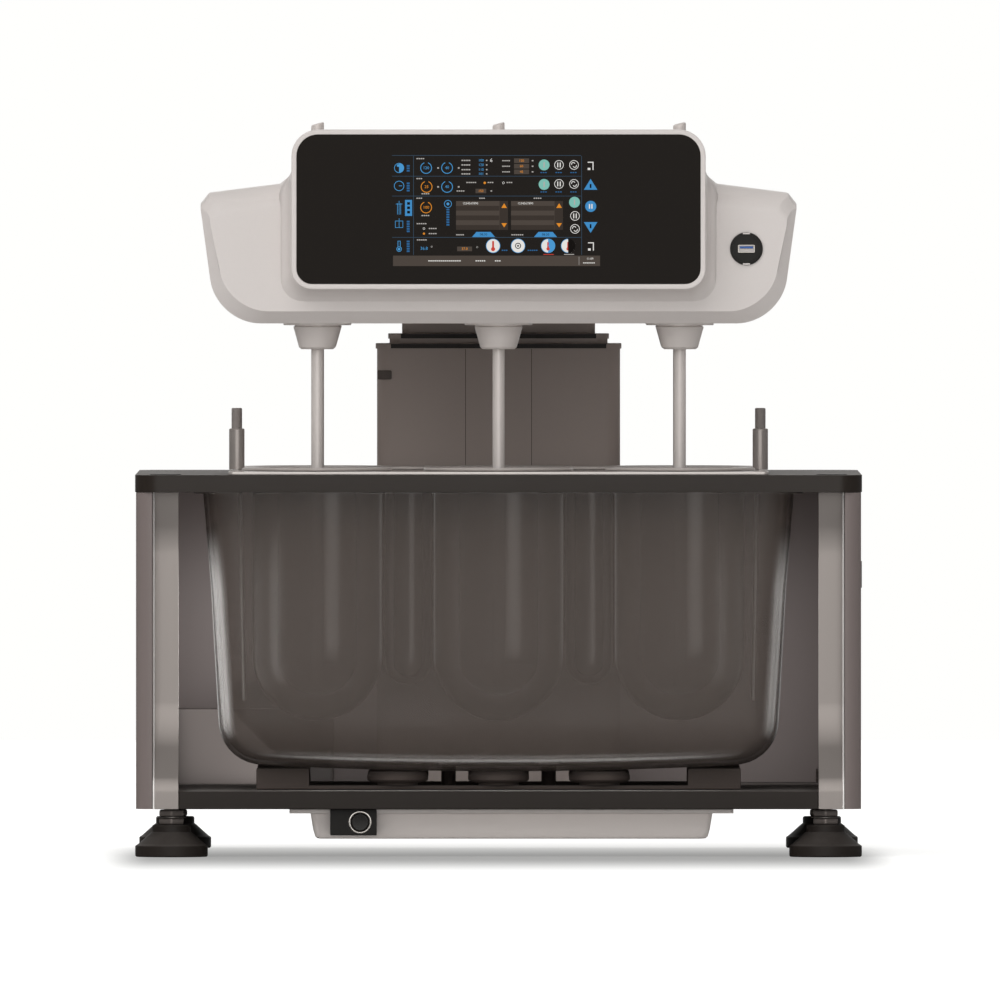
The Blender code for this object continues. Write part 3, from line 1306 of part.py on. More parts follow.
def make_drive(materials, head_axis):
    tension, motor = idler_places()
    axis = add_axis("tension_pulley_axis", (*tension, head_bottom_z))
    bore = bore_radius(TENSION_POST_DIAMETER / 2, GAP, SMALL_STEPS)
    profile = [
        (bore, pulley_low_z), (idler_diameter / 2, pulley_low_z), (idler_diameter / 2, pulley_top_z),
        (bore, pulley_top_z),
    ]
    add_part("tension_pulley", turned(profile, tension, ROUND_STEPS), materials["aluminium"], axis)

    axis = add_axis("motor_pulley_axis", (*motor, head_bottom_z))
    wheel = toothed_wheel(motor, idler_diameter, MOTOR_TEETH, pulley_low_z, pulley_top_z)
    pulley = add_part("motor_pulley", wheel, materials["steel"], axis)
    motor_low = head_bottom_z + MOTOR_LEVEL
    shaft_top = motor_low + MOTOR_SHAFT_REACH
    change(pulley, "UNION", rod(motor, MOTOR_SHAFT_DIAMETER / 2, pulley_low_z + SINK, shaft_top, SMALL_STEPS))

    side = MOTOR_DIAMETER + MOTOR_POST_DIAMETER
    corner = MOTOR_POST_DIAMETER / 2
    plate = prism(
        rounded_rectangle(around(motor[0], side), around(motor[1], side), corner, corner),
        "z", motor_low, motor_low + MOTOR_FLANGE)
    body = add_part("drive_motor", plate, materials["bare_metal"], head_axis)
    posts = [
        rod((motor[0] + end_x * MOTOR_POST_SPACING / 2, motor[1] + end_y * MOTOR_POST_SPACING / 2),
            MOTOR_POST_DIAMETER / 2, carrier_top_z + GAP, motor_low + MOTOR_FLANGE / 2, SMALL_STEPS)
        for end_x in (-1, 1) for end_y in (-1, 1)
    ]
    can = rod(motor, MOTOR_DIAMETER / 2, motor_low + MOTOR_FLANGE / 2, motor_low + MOTOR_HEIGHT, ROUND_STEPS)
    change(body, "UNION", can, *posts)
    shaft_bore = bore_radius(MOTOR_SHAFT_DIAMETER / 2, GAP, SMALL_STEPS)
    change(body, "DIFFERENCE", rod(motor, shaft_bore, motor_low - OVERRUN, shaft_top + SINK, SMALL_STEPS))


def make_materials():
    return {
        "frame": finish("dark_frame_paint", (0.030, 0.022, 0.017), 0.45, 0.0),
        "cover": finish("side_cover_paint", (0.16, 0.13, 0.12), 0.40, 0.1),
        "polished": finish("polished_steel", (0.62, 0.60, 0.58), 0.18, 1.0),
        "steel": finish("turned_steel", (0.56, 0.53, 0.50), 0.25, 1.0),
        "aluminium": finish("machined_aluminium", (0.60, 0.58, 0.56), 0.35, 1.0),
        "bare_metal": finish("zinc_plated_metal", (0.45, 0.44, 0.42), 0.45, 0.9),
        "tray": finish("tray_paint", (0.36, 0.31, 0.29), 0.50, 0.0),
        "foot": finish("foot_plastic", (0.035, 0.028, 0.022), 0.50, 0.0),
        "rubber": finish("dark_rubber", (0.022, 0.018, 0.015), 0.80, 0.0),
        "black_plastic": finish("black_plastic", (0.018, 0.015, 0.013), 0.40, 0.0),
        "button": finish("button_metal", (0.05, 0.05, 0.05), 0.30, 0.5),
        "smoky": finish("smoky_acrylic", (0.08, 0.065, 0.058), 0.08, 0.0, 0.55),
        "glass": finish("clear_glass", (0.80, 0.78, 0.76), 0.05, 0.0, 0.30),
        "column": finish("column_paint", (0.085, 0.068, 0.060), 0.42, 0.2),
        "head": finish("head_paint", (0.58, 0.54, 0.51), 0.40, 0.0),
        "screen": finish("screen_glass", (0.016, 0.013, 0.010), 0.08, 0.0),
        "board": finish("circuit_board", (0.02, 0.12, 0.05), 0.55, 0.0),
    }


def main():
    for item in list(bpy.data.objects):
        bpy.data.objects.remove(item)
    materials = make_materials()
    head_axis = add_axis("head_lift_axis", (0, column_y, head_bottom_z))
    middle_axis = add_axis("column_middle_axis", (0, column_y, middle_top_z))
    bpy.context.view_layer.update()

    make_feet(materials)
    make_base_shelf(materials)
    make_legs(materials)
    make_side_covers(materials)
    make_rear_panel(materials)
    make_power_inlet(materials)
    make_power_supply(materials)
    make_tray(materials)
    make_switch_panel(materials)
    make_power_button(materials)
    make_heater(materials)
    make_bath_supports(materials)
    make_water_bath(materials)
    make_deck(materials)
    make_vessel_plate(materials)
    make_glassware(materials)
    make_probes(materials)
    make_column(materials, middle_axis, head_axis)
    make_lift(materials, head_axis)
    make_head_shells(materials, head_axis)
    make_screen(materials, head_axis)
    make_usb_port(materials, head_axis)
    make_carrier(materials, head_axis)
    make_belt(materials, head_axis)
    make_stations(materials, head_axis)
    make_drive(materials, head_axis)


main()
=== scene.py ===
import math

import bmesh
import bpy
from mathutils import Matrix, Vector


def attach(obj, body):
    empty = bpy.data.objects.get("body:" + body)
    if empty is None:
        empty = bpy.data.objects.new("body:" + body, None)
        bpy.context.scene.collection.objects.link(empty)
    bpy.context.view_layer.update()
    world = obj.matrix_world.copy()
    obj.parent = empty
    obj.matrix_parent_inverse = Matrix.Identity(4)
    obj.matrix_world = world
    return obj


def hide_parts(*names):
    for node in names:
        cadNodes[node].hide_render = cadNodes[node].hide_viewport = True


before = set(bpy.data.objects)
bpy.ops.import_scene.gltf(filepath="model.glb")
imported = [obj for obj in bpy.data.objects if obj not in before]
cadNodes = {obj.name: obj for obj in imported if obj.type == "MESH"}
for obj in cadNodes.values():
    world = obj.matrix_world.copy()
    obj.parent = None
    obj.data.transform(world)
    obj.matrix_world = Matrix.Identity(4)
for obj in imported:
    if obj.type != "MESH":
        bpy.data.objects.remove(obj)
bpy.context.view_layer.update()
print("frame loaded:", len(cadNodes), "nodes")

# every size below is in millimetres, and a finished piece is scaled to metres
millimetre = 0.001
columns = (-150, 0, 150)
rows = (-130, 25)
rowsMiddle = -52.5
columnMiddle = 176
stations = [(x, y) for y in rows for x in columns]
sides = ((-1, "left"), (1, "right"))


# shapes
def cornerSteps(radius):
    # larger corners take more steps
    return max(2, min(18, round(2.4 * math.sqrt(radius))))


def faceRight(shape):
    bmesh.ops.recalc_face_normals(shape, faces=shape.faces)
    return shape


def shift(shape, way):
    bmesh.ops.translate(shape, verts=shape.verts, vec=way)


def rotate(shape, angle, axis):
    bmesh.ops.rotate(shape, verts=shape.verts, cent=(0, 0, 0), matrix=Matrix.Rotation(angle, 3, axis))


def openUp(shape):
    # the faces go and their edges stay
    bmesh.ops.delete(shape, geom=shape.faces[:], context="FACES_ONLY")


def kept(drawn, kind):
    return [item for item in drawn["geom"] if isinstance(item, kind)]


def grow(shape, edges):
    # the next ring of an open shell, which still lies on the last one
    drawn = bmesh.ops.extrude_edge_only(shape, edges=edges)
    return kept(drawn, bmesh.types.BMEdge), kept(drawn, bmesh.types.BMVert)


def drawFaces(shape, faces, way):
    drawn = bmesh.ops.extrude_face_region(shape, geom=faces)
    bmesh.ops.translate(shape, verts=kept(drawn, bmesh.types.BMVert), vec=way)


def roundEdges(shape, edges, width, segments):
    bmesh.ops.bevel(
        shape, geom=edges, offset=width, offset_type="OFFSET", affect="EDGES", segments=segments,
        profile=0.5, material=-1, clamp_overlap=True)
    return shape


def section(corners, radii, plane="z", level=0, steps=None):
    # one flat face with rounded corners
    shape = bmesh.new()
    points = []
    for first, second in corners:
        spots = {"z": (first, second, level), "y": (first, level, second), "x": (level, first, second)}
        points.append(shape.verts.new(spots[plane]))
    shape.faces.new(points)
    places = [point.co.copy() for point in points]
    for index, (point, radius) in enumerate(zip(points, radii)):
        if not radius:
            continue
        before = places[index - 1] - places[index]
        after = places[(index + 1) % len(places)] - places[index]
        slide = radius / math.tan(before.angle(after) / 2)
        bmesh.ops.bevel(
            shape, geom=[point], offset=slide, offset_type="ABSOLUTE", affect="VERTICES",
            segments=steps or cornerSteps(radius), profile=0.5, material=-1, clamp_overlap=False)
    bmesh.ops.remove_doubles(shape, verts=shape.verts, dist=0.002)
    return shape


def around(middle, half):
    # the two ends of a span
    return (middle - half, middle + half)


def rectangle(across, along, radius, plane="z", level=0, steps=None):
    corners = [(across[0], along[0]), (across[1], along[0]), (across[1], along[1]), (across[0], along[1])]
    radii = radius if isinstance(radius, (list, tuple)) else [radius] * 4
    return section(corners, radii, plane, level, steps)


def pull(shape, way):
    # a face becomes a solid, drawn out along a straight way
    drawFaces(shape, shape.faces[:], way)
    return faceRight(shape)


def sharpEdges(shape, angle):
    return [edge for edge in shape.edges if len(edge.link_faces) == 2 and edge.calc_face_angle(0) > angle]


def soften(shape, width, segments=2, above=30):
    return roundEdges(shape, sharpEdges(shape, math.radians(above)), width, segments)


def box(across, along, up, edge=0.4, segments=2):
    shape = rectangle(across, along, 0, "z", up[0])
    pull(shape, (0, 0, up[1] - up[0]))
    return soften(shape, edge, segments) if edge else shape


def turned(corners, radii, place=(0, 0, 0), steps=48, axis="z"):
    # a half section with rounded corners, spun round an axis
    shape = section(corners, radii, "y")
    openUp(shape)
    onAxis = [edge for edge in shape.edges if all(abs(vert.co.x) < 0.001 for vert in edge.verts)]
    bmesh.ops.delete(shape, geom=onAxis, context="EDGES")
    bmesh.ops.spin(
        shape, geom=shape.verts[:] + shape.edges[:], cent=(0, 0, 0), axis=(0, 0, 1), dvec=(0, 0, 0),
        angle=2 * math.pi, steps=steps, use_merge=True)
    bmesh.ops.remove_doubles(shape, verts=shape.verts, dist=0.002)
    faceRight(shape)
    if axis == "y":
        rotate(shape, -math.pi / 2, "X")
    shift(shape, place)
    return shape


def rod(radius, low, high, place=(0, 0, 0), edge=0.3, steps=32):
    return turned([(0, low), (radius, low), (radius, high), (0, high)], [0, edge, edge, 0], place, steps)


def disc(radius, place, steps=32, upright=False):
    # a loop of edges for a hole
    shape = bmesh.new()
    bmesh.ops.create_circle(shape, cap_ends=False, segments=steps, radius=radius)
    if upright:
        rotate(shape, math.pi / 2, "X")
    shift(shape, place)
    return shape


def meshOf(name, shape):
    mesh = bpy.data.meshes.new(name)
    shape.to_mesh(mesh)
    shape.free()
    return mesh


def newThing(name, data):
    thing = bpy.data.objects.new(name, data)
    bpy.context.scene.collection.objects.link(thing)
    return thing


def join(shape, *others):
    for other in others:
        mesh = meshOf("joining", other)
        shape.from_mesh(mesh)
        bpy.data.meshes.remove(mesh)
    return shape


def rise(levels):
    # the way up from one level to the next
    return (0, 0, levels[1] - levels[0])


def pierced(shape, holes, way, edge=0.0, segments=2):
    # a plate with holes through it
    join(shape, *holes)
    openUp(shape)
    bmesh.ops.triangle_fill(shape, edges=shape.edges[:], use_beauty=True, use_dissolve=False)
    pull(shape, way)
    return soften(shape, edge, segments, 40) if edge else shape


def drawRing(shape, edges, half, centre, steps, start=0):
    # a ring of edges climbs through steps of inset and level
    current = start
    for inset, level in steps:
        edges, verts = grow(shape, edges)
        ratios = [(side - inset) / (side - current) for side in half]
        bmesh.ops.scale(
            shape, verts=verts, vec=(ratios[0], ratios[1], 1),
            space=Matrix.Translation((-centre[0], -centre[1], 0)))
        bmesh.ops.translate(shape, verts=verts, vec=(0, 0, level - verts[0].co.z))
        current = inset
    return edges


def onSide(shape, side):
    # a shape drawn for the right side also serves the left one
    if side < 0:
        bmesh.ops.scale(shape, verts=shape.verts, vec=(-1, 1, 1))
        faceRight(shape)
    return shape


def faceOut(shape):
    # the faces of an open shell turn away from its middle
    faceRight(shape)
    middles = [face.calc_center_median() for face in shape.faces]
    areas = [face.calc_area() for face in shape.faces]
    centre = sum((place * area for place, area in zip(middles, areas)), Vector()) / sum(areas)
    leans = [face.normal.dot(place - centre) for face, place in zip(shape.faces, middles)]
    if sum(lean * area for lean, area in zip(leans, areas)) < 0:
        bmesh.ops.reverse_faces(shape, faces=shape.faces)


pieceCount = 0


def addPiece(name, shape, finish, body="root", replaces=(), slot=None, sharp=35, wall=0, weighted=True):
    global pieceCount
    if wall:
        faceOut(shape)
    bmesh.ops.scale(shape, verts=shape.verts, vec=(millimetre,) * 3)
    mesh = meshOf(name, shape)
    mesh.shade_smooth()
    mesh.set_sharp_from_angle(angle=math.radians(sharp))
    mesh.materials.append(finishes[finish])
    piece = newThing(name, mesh)
    if wall:
        shell = piece.modifiers.new("wall", "SOLIDIFY")
        shell.thickness = wall * millimetre
        shell.offset = -1
        shell.use_even_offset = True
    if weighted:
        piece.modifiers.new("faceWeights", "WEIGHTED_NORMAL").keep_sharp = True
    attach(piece, body)
    if replaces:
        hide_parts(*([replaces] if isinstance(replaces, str) else replaces))
    pieceCount += 1
    return piece


def markAbove(piece, level, finish):
    # the faces over a level take a second finish
    piece.data.materials.append(finishes[finish])
    for face in piece.data.polygons:
        if face.center.z > level * millimetre:
            face.material_index = 1


# finishes
def shade(red, green, blue):
    # a colour as it is read off a screen, turned to the linear one that a shader takes
    parts = [part / 255 for part in (red, green, blue)]
    return (*[part / 12.92 if part <= 0.04045 else ((part + 0.055) / 1.055) ** 2.4 for part in parts], 1)


def addNode(tree, kind, links=None, **settings):
    node = tree.nodes.new("ShaderNode" + kind)
    for key, value in settings.items():
        setattr(node, key, value)
    for label, source in (links or {}).items():
        target = node.inputs[label]
        if isinstance(source, bpy.types.NodeSocket):
            tree.links.new(source, target)
        else:
            target.default_value = source
    return node


def maths(tree, operation, *values, clamp=False):
    return addNode(tree, "Math", dict(enumerate(values)), operation=operation, use_clamp=clamp).outputs[0]


def mapped(tree, source, low, high, start, stop, kind="LINEAR"):
    return addNode(tree, "MapRange", {
        "Value": source, "From Min": low, "From Max": high, "To Min": start, "To Max": stop},
        interpolation_type=kind).outputs["Result"]


def noise(tree, place, scale, detail, roughness):
    return addNode(tree, "TexNoise", {
        "Vector": place, "Scale": scale, "Detail": detail, "Roughness": roughness}).outputs["Fac"]


def scaled(tree, colour, factor):
    return addNode(tree, "VectorMath", {0: colour, "Scale": factor}, operation="SCALE").outputs[0]


def spread(tree, given, height, swing):
    # a swing about nought shifts the colour and the roughness by their spreads
    tint = maths(tree, "MULTIPLY_ADD", swing, given["Colour Spread"], 1.0)
    rough = maths(tree, "MULTIPLY_ADD", swing, given["Roughness Spread"], given["Roughness"], clamp=True)
    return {"Colour": scaled(tree, given["Colour"], tint), "Roughness": rough, "Height": height}


def drawGrain(tree, given, place):
    # fine grain of a moulded, painted or cast surface, with larger soft patches
    grain = noise(tree, place, given["Grain"], 2.0, 0.6)
    patches = noise(tree, place, given["Patches"], 4.0, 0.55)
    return spread(tree, given, grain, maths(tree, "SUBTRACT", maths(tree, "ADD", grain, patches), 1.0))


def drawBrush(tree, given, place):
    # fine parallel lines left by a brush, a lathe or a mill
    stretch = addNode(tree, "VectorMath", {0: place, 1: given["Stretch"]}, operation="MULTIPLY")
    lines = noise(tree, stretch.outputs[0], 1.0, 5.0, 0.7)
    return spread(tree, given, lines, maths(tree, "SUBTRACT", lines, 0.5))


def drawThread(tree, given, place):
    # the rings of a screw thread along a height, with a painted shade that darkens the colour in the grooves
    rings = addNode(tree, "TexWave", {"Vector": place, "Scale": given["Pitch Scale"], "Distortion": 0.0},
                    wave_type="BANDS", bands_direction="Z", wave_profile="SIN").outputs["Fac"]
    return {"Height": rings, "Shadow": mapped(tree, rings, 0.0, 0.6, 0.45, 1.0)}


def drawDust(tree, given, place):
    # a thin film of dust on what faces up, broken up by noise
    facing = addNode(tree, "SeparateXYZ", {0: addNode(tree, "NewGeometry").outputs["Normal"]})
    upward = mapped(tree, facing.outputs["Z"], 0.3, 1.0, 0.0, 1.0)
    mask = maths(tree, "MULTIPLY", upward, noise(tree, place, 26.0, 6.0, 0.65))
    share = maths(tree, "MULTIPLY", mask, given["Amount"], clamp=True)
    colour = addNode(tree, "Mix", {
        "Factor": share, "A": given["Colour"], "B": given["Dust"]}, data_type="RGBA")
    rough = maths(tree, "MULTIPLY_ADD", share, 0.8, given["Roughness"], clamp=True)
    return {"Colour": colour.outputs["Result"], "Roughness": rough}


def makeGroup(name, draw, inputs):
    # a shared effect with its inputs' own values and the outputs that its drawing gives back
    group = bpy.data.node_groups.new(name, "ShaderNodeTree")
    for label, value in inputs.items():
        kind = "Float" if isinstance(value, float) else "Color" if len(value) == 4 else "Vector"
        socket = group.interface.new_socket(label, in_out="INPUT", socket_type="NodeSocket" + kind)
        socket.default_value = value
    start = group.nodes.new("NodeGroupInput").outputs
    results = draw(group, start, addNode(group, "TexCoord").outputs["Object"])
    for label in results:
        kind = "Color" if label == "Colour" else "Float"
        group.interface.new_socket(label, in_out="OUTPUT", socket_type="NodeSocket" + kind)
    end = group.nodes.new("NodeGroupOutput")
    for label, source in results.items():
        group.links.new(source, end.inputs[label])
    return group


effects = {
    "grain": makeGroup("surfaceGrain", drawGrain, {
        "Colour": (0.5, 0.5, 0.5, 1), "Roughness": 0.5, "Grain": 900.0, "Patches": 14.0,
        "Colour Spread": 0.05, "Roughness Spread": 0.06}),
    "brush": makeGroup("brushedLines", drawBrush, {
        "Colour": (0.6, 0.6, 0.6, 1), "Roughness": 0.3, "Stretch": (20, 20, 900), "Colour Spread": 0.08,
        "Roughness Spread": 0.12}),
    "thread": makeGroup("threadRings", drawThread, {"Pitch Scale": 400.0}),
    "dust": makeGroup("restingDust", drawDust, {
        "Colour": (0.1, 0.1, 0.1, 1), "Roughness": 0.3, "Amount": 0.1, "Dust": (0.35, 0.32, 0.3, 1)}),
}
finishes = {}


def useEffect(tree, kind, values):
    return addNode(tree, "Group", values, node_tree=effects[kind]).outputs


def finishOf(name, colour, roughness, metallic, specular, grain, dust, bump, depth=0.1, thread=0):
    # one material: a shader with its own plain values, fed by the shared effects
    material = bpy.data.materials.new(name)
    material.use_nodes = True
    tree = material.node_tree
    shader = tree.nodes["Principled BSDF"].inputs
    shader["Metallic"].default_value = metallic
    shader["Specular IOR Level"].default_value = specular
    skin = useEffect(tree, "brush" if "Stretch" in grain else "grain", {
        "Colour": shade(*colour), "Roughness": roughness, **grain})
    paint, rough, height = skin["Colour"], skin["Roughness"], skin["Height"]
    if thread:
        rings = useEffect(tree, "thread", {"Pitch Scale": thread})
        # the thread's painted shade darkens the paint in its grooves
        paint, height = scaled(tree, paint, rings["Shadow"]), rings["Height"]
    if dust:
        film = useEffect(tree, "dust", {"Amount": dust, "Colour": paint, "Roughness": rough})
        paint, rough = film["Colour"], film["Roughness"]
    tree.links.new(paint, shader["Base Color"])
    tree.links.new(rough, shader["Roughness"])
    if bump:
        relief = addNode(tree, "Bump", {"Height": height, "Strength": bump, "Distance": depth * millimetre})
        tree.links.new(relief.outputs["Normal"], shader["Normal"])
    finishes[name] = material
    return tree, shader


def lampOf(name, colour):
    # a lit mark of the display, a little uneven like the pixels behind the glass
    tree, shader = finishOf(name, (6, 6, 6), 0.5, 0, 0, {}, 0, 0)
    glow = useEffect(tree, "grain", {"Colour": shade(*colour), "Grain": 1500, "Colour Spread": 0.12})
    tree.links.new(glow["Colour"], shader["Emission Color"])
    shader["Emission Strength"].default_value = 1


def glassOf(name, colour, roughness, alpha, specular, rim=0, edges=(0, 1)):
    # see-through plastic: its edges turned away from the eye are denser
    tree, shader = finishOf(name, colour, roughness, 0, specular, clearGrain, 0, 0)
    shader["Alpha"].default_value = alpha
    if rim:
        facing = addNode(tree, "LayerWeight", {"Blend": 0.5}).outputs["Facing"]
        tree.links.new(mapped(tree, facing, *edges, alpha, rim, "SMOOTHSTEP"), shader["Alpha"])


def brushed(stretch, roughSpread=0.12, colourSpread=0.08):
    return {"Stretch": stretch, "Roughness Spread": roughSpread, "Colour Spread": colourSpread}


softPaint = {"Grain": 700.0, "Patches": 9.0, "Colour Spread": 0.035, "Roughness Spread": 0.08}
tightGrain = {"Grain": 1400.0, "Patches": 20.0, "Colour Spread": 0.12, "Roughness Spread": 0.12}
castGrain = {"Grain": 500.0, "Patches": 25.0, "Colour Spread": 0.10, "Roughness Spread": 0.15}
clearGrain = {"Grain": 200.0, "Patches": 8.0, "Colour Spread": 0.01, "Roughness Spread": 0.01}

# colour, roughness, metallic, specular, grain, dust and bump, then a thread's depth and scale
for row in (
        ("headPaint", (217, 210, 206), 0.34, 0, 0.4, softPaint, 0.06, 0.05),
        ("rimPaint", (214, 207, 203), 0.25, 0, 0.5, softPaint, 0, 0.04),
        ("carrierMetal", (176, 168, 163), 0.42, 1, 0.5, castGrain, 0, 0.12),
        ("noseMetal", (228, 220, 215), 0.34, 0.15, 0.5, brushed((12, 12, 900), 0.1, 0.03), 0, 0.03),
        ("shaftSteel", (224, 216, 211), 0.36, 0.15, 0.5, brushed((30, 30, 700), 0.08, 0.04), 0, 0.03),
        ("legSteel", (206, 197, 192), 0.5, 1, 0.5, brushed((700, 60, 12), 0.06, 0.03), 0, 0.02),
        ("plateSteel", (214, 207, 202), 0.22, 0.45, 0.5, brushed((10, 700, 700)), 0, 0.05),
        ("probeSteel", (176, 168, 163), 0.3, 0.5, 0.5, brushed((30, 30, 800)), 0, 0.05),
        ("rodSteel", (244, 240, 236), 0.35, 0.5, 0.5, castGrain, 0, 0.02),
        ("probeThread", (206, 197, 192), 0.36, 0.5, 0.5, {}, 0, 0.9, 0.3, 400),
        ("tabPaint", (88, 79, 74), 0.5, 0, 0.3, softPaint, 0, 0.1),
        ("studSteel", (150, 143, 139), 0.35, 1, 0.5, {}, 0, 0.9, 0.4, 270),
        ("nutSteel", (140, 131, 126), 0.4, 0.6, 0.5, castGrain, 0, 0.1),
        # bright, mostly matte steel for the thin strip on each leg's outer edge: a painted highlight
        ("highlightSteel", (246, 242, 238), 0.4, 0.3, 0.5, castGrain, 0, 0.03),
        ("screwSteel", (165, 158, 154), 0.3, 1, 0.5, castGrain, 0, 0.05),
        ("columnPaint", (168, 155, 148), 0.5, 0, 0.4, softPaint, 0.1, 0.08),
        ("columnEdge", (34, 29, 26), 0.45, 0, 0.3, tightGrain, 0, 0.1),
        ("deckPaint", (40, 33, 28), 0.36, 0, 0.35, tightGrain, 0.5, 0.1),
        ("shelfPaint", (40, 34, 30), 0.45, 0, 0.3, tightGrain, 0.4, 0.12),
        ("coverPaint", (122, 111, 108), 0.42, 0, 0.4, softPaint, 0.1, 0.08),
        ("supplyPaint", (78, 71, 68), 0.5, 0, 0.3, softPaint, 0, 0.08),
        ("trayPaint", (222, 214, 209), 0.4, 0, 0.4, softPaint, 0, 0.06),
        ("footRubber", (38, 32, 28), 0.5, 0, 0.35, tightGrain, 0.3, 0.2),
        ("padRubber", (92, 82, 77), 0.7, 0, 0.2, tightGrain, 0.2, 0.25),
        ("blackPlastic", (24, 21, 18), 0.4, 0, 0.3, tightGrain, 0, 0.15),
        ("glassBlack", (25, 20, 16), 0.06, 0, 0.08, softPaint, 0, 0),
        ("beltRubber", (30, 28, 26), 0.7, 0, 0.2, tightGrain, 0, 0.3),
        ("boardGreen", (38, 84, 52), 0.4, 0, 0.5, tightGrain, 0, 0.1),
        ("castMetal", (150, 145, 141), 0.5, 1, 0.5, castGrain, 0, 0.25),
        ("bareSheet", (170, 164, 160), 0.38, 1, 0.5, brushed((14, 500, 500)), 0, 0.05),
        ("socketMetal", (214, 208, 202), 0.22, 1, 0.5, castGrain, 0, 0.05),
        ("tongueBlue", (40, 92, 168), 0.35, 0, 0.5, softPaint, 0, 0.05),
        ("contactBrass", (206, 178, 112), 0.3, 1, 0.5, castGrain, 0, 0.05),
        ("buttonBlack", (26, 23, 20), 0.28, 0, 0.4, tightGrain, 0, 0.1)):
    finishOf(*row)
glassOf("smokyAcrylic", (108, 97, 90), 0.2, 0.42, 1, 0.92, (0.5, 1))
# vessel and tube glass below the plate is darker than the same glass in the rim above it: painted shade of
# the bath's inside
glassOf("shadedVesselGlass", (92, 82, 76), 0.28, 0.66, 1, 0.86, (0.2, 0.3))
glassOf("rimGlass", (206, 198, 193), 0.3, 0.7, 0.5)
print("finishes ready:", len(finishes))


def dress(finish, *names):
    for name in names:
        for place in cadNodes[name].material_slots:
            place.material = finishes[finish]


# feet
feet = {
    "places": {"front_left": (-270, -209, 0), "front_right": (270, -209, 0), "rear_left": (-270, 205, 0),
               "rear_right": (270, 205, 0)},
    "pad": [(0, 0), (29, 0), (30, 1), (30, 9), (27.5, 10.6), (17.5, 19.6), (16, 20.6), (16, 26.4), (0, 26.4)],
    "padRounds": [0, 0, 0.8, 1.2, 1, 1.5, 0.8, 1.6, 0], "padSteps": 64, "stud": (5, 25.4, 66.1),
    "washer": (12, 32.2, 32.9), "nut": 11.6, "nutEdge": 1.6, "lowerNut": (26.45, 32.1),
    "upperNut": (33, 38.9), "studEdge": 1, "washerEdge": 0.2,
}


def addNut(name, levels, place, body):
    nut = bmesh.new()
    bmesh.ops.create_circle(nut, cap_ends=True, segments=6, radius=feet["nut"])
    shift(nut, (place[0], place[1], levels[0]))
    addPiece(name, soften(pull(nut, rise(levels)), feet["nutEdge"], 3), "nutSteel", body)


for corner, place in feet["places"].items():
    body = f"foot_{corner}"
    pad = turned(feet["pad"], feet["padRounds"], place, feet["padSteps"])
    addPiece(f"footPad_{corner}", pad, "footRubber", body, f"levelling_foot_{corner}", "foot_plastic")
    addPiece(f"footStud_{corner}", rod(*feet["stud"], place, feet["studEdge"]), "studSteel", body)
    addNut(f"footNut_{corner}", feet["lowerNut"], place, body)
    washer = rod(*feet["washer"], place, feet["washerEdge"])
    addPiece(f"footWasher_{corner}", washer, "screwSteel", body)
    addNut(f"lockNut_{corner}", feet["upperNut"], place, "root")
print("feet ready")

# base shelf, tray and switch
shelf = {"corners": [(-263.8, -236), (263.8, -236), (263.8, -227.7), (296.9, -227.7), (296.9, 233.7),
                     (-296.9, 233.7), (-296.9, -227.7), (-263.8, -227.7)],
         "levels": (39.6, 54.5), "edge": 0.8}
shape = pull(section(shelf["corners"], [0] * 8, "z", shelf["levels"][0]), rise(shelf["levels"]))
addPiece("baseShelf", soften(shape, shelf["edge"]), "shelfPaint", replaces="base_shelf", slot="dark_paint")

tray = {"spans": ((-155.2, 176.5), (-215, 190)), "corner": 5, "top": 35.6, "wall": 1.8,
        "steps": [(2.1, 22.5), (3, 19.5), (3.9, 16.6), (5.6, 15.2), (8, 14.8)], "bottom": 15,
        "flange": ((-172.6, 193.9), (-221, 196)), "opening": ((-154.2, 175.5), (-214, 189)),
        "flangeLevels": (35.9, 39.2), "flangeCorner": 3, "flangeEdge": 0.5}
shape = rectangle(*tray["spans"], tray["corner"], "z", tray["top"])
openUp(shape)
drawRing(shape, shape.edges[:], [(high - low) / 2 for low, high in tray["spans"]],
         [(high + low) / 2 for low, high in tray["spans"]], tray["steps"])
lowest = [edge for edge in shape.edges if edge.is_boundary and edge.verts[0].co.z < tray["bottom"]]
bmesh.ops.holes_fill(shape, edges=lowest, sides=0)
addPiece("trayPan", faceRight(shape), "trayPaint", replaces="base_tray", slot="tray_paint", wall=tray["wall"])
outer, hole = [rectangle(*tray[key], tray["flangeCorner"], "z", tray["flangeLevels"][0])
               for key in ("flange", "opening")]
shape = pierced(outer, [hole], rise(tray["flangeLevels"]), tray["flangeEdge"])
addPiece("trayFlange", shape, "trayPaint", slot="tray_paint")

switch = {"across": (-139, -100.5), "up": (17.8, 39.3), "front": -224, "depth": 8.7, "corner": 0.8,
          "edge": 0.35, "pocket": 8, "button": (-114.25, -224, 28.55), "pocketSteps": 40,
          "ringSteps": 56, "capSteps": 48,
          "ring": ([(8, -0.9), (9.6, -0.9), (9.6, 0.3), (8, 0.3)], [0.3, 0.5, 0, 0]),
          "cap": ([(0, -1.1), (6.5, -1.5), (7.6, -1), (7.6, 0.7), (2.5, 0.7), (2.5, 12.4), (0, 12.4)],
                  [0, 1, 0.4, 0.3, 0.2, 0.3, 0])}
shape = rectangle(switch["across"], switch["up"], switch["corner"], "y", switch["front"])
hole = disc(switch["pocket"], switch["button"], switch["pocketSteps"], True)
shape = pierced(shape, [hole], (0, switch["depth"], 0), switch["edge"])
addPiece("switchPanel", shape, "blackPlastic", replaces="switch_panel", slot="black_plastic")
ring = turned(*switch["ring"], switch["button"], switch["ringSteps"], "y")
addPiece("switchRing", ring, "socketMetal")
cap = turned(*switch["cap"], switch["button"], switch["capSteps"], "y")
addPiece("powerButtonCap", cap, "buttonBlack", "button", "power_button", "black_plastic")
print("shelf, tray and switch ready")

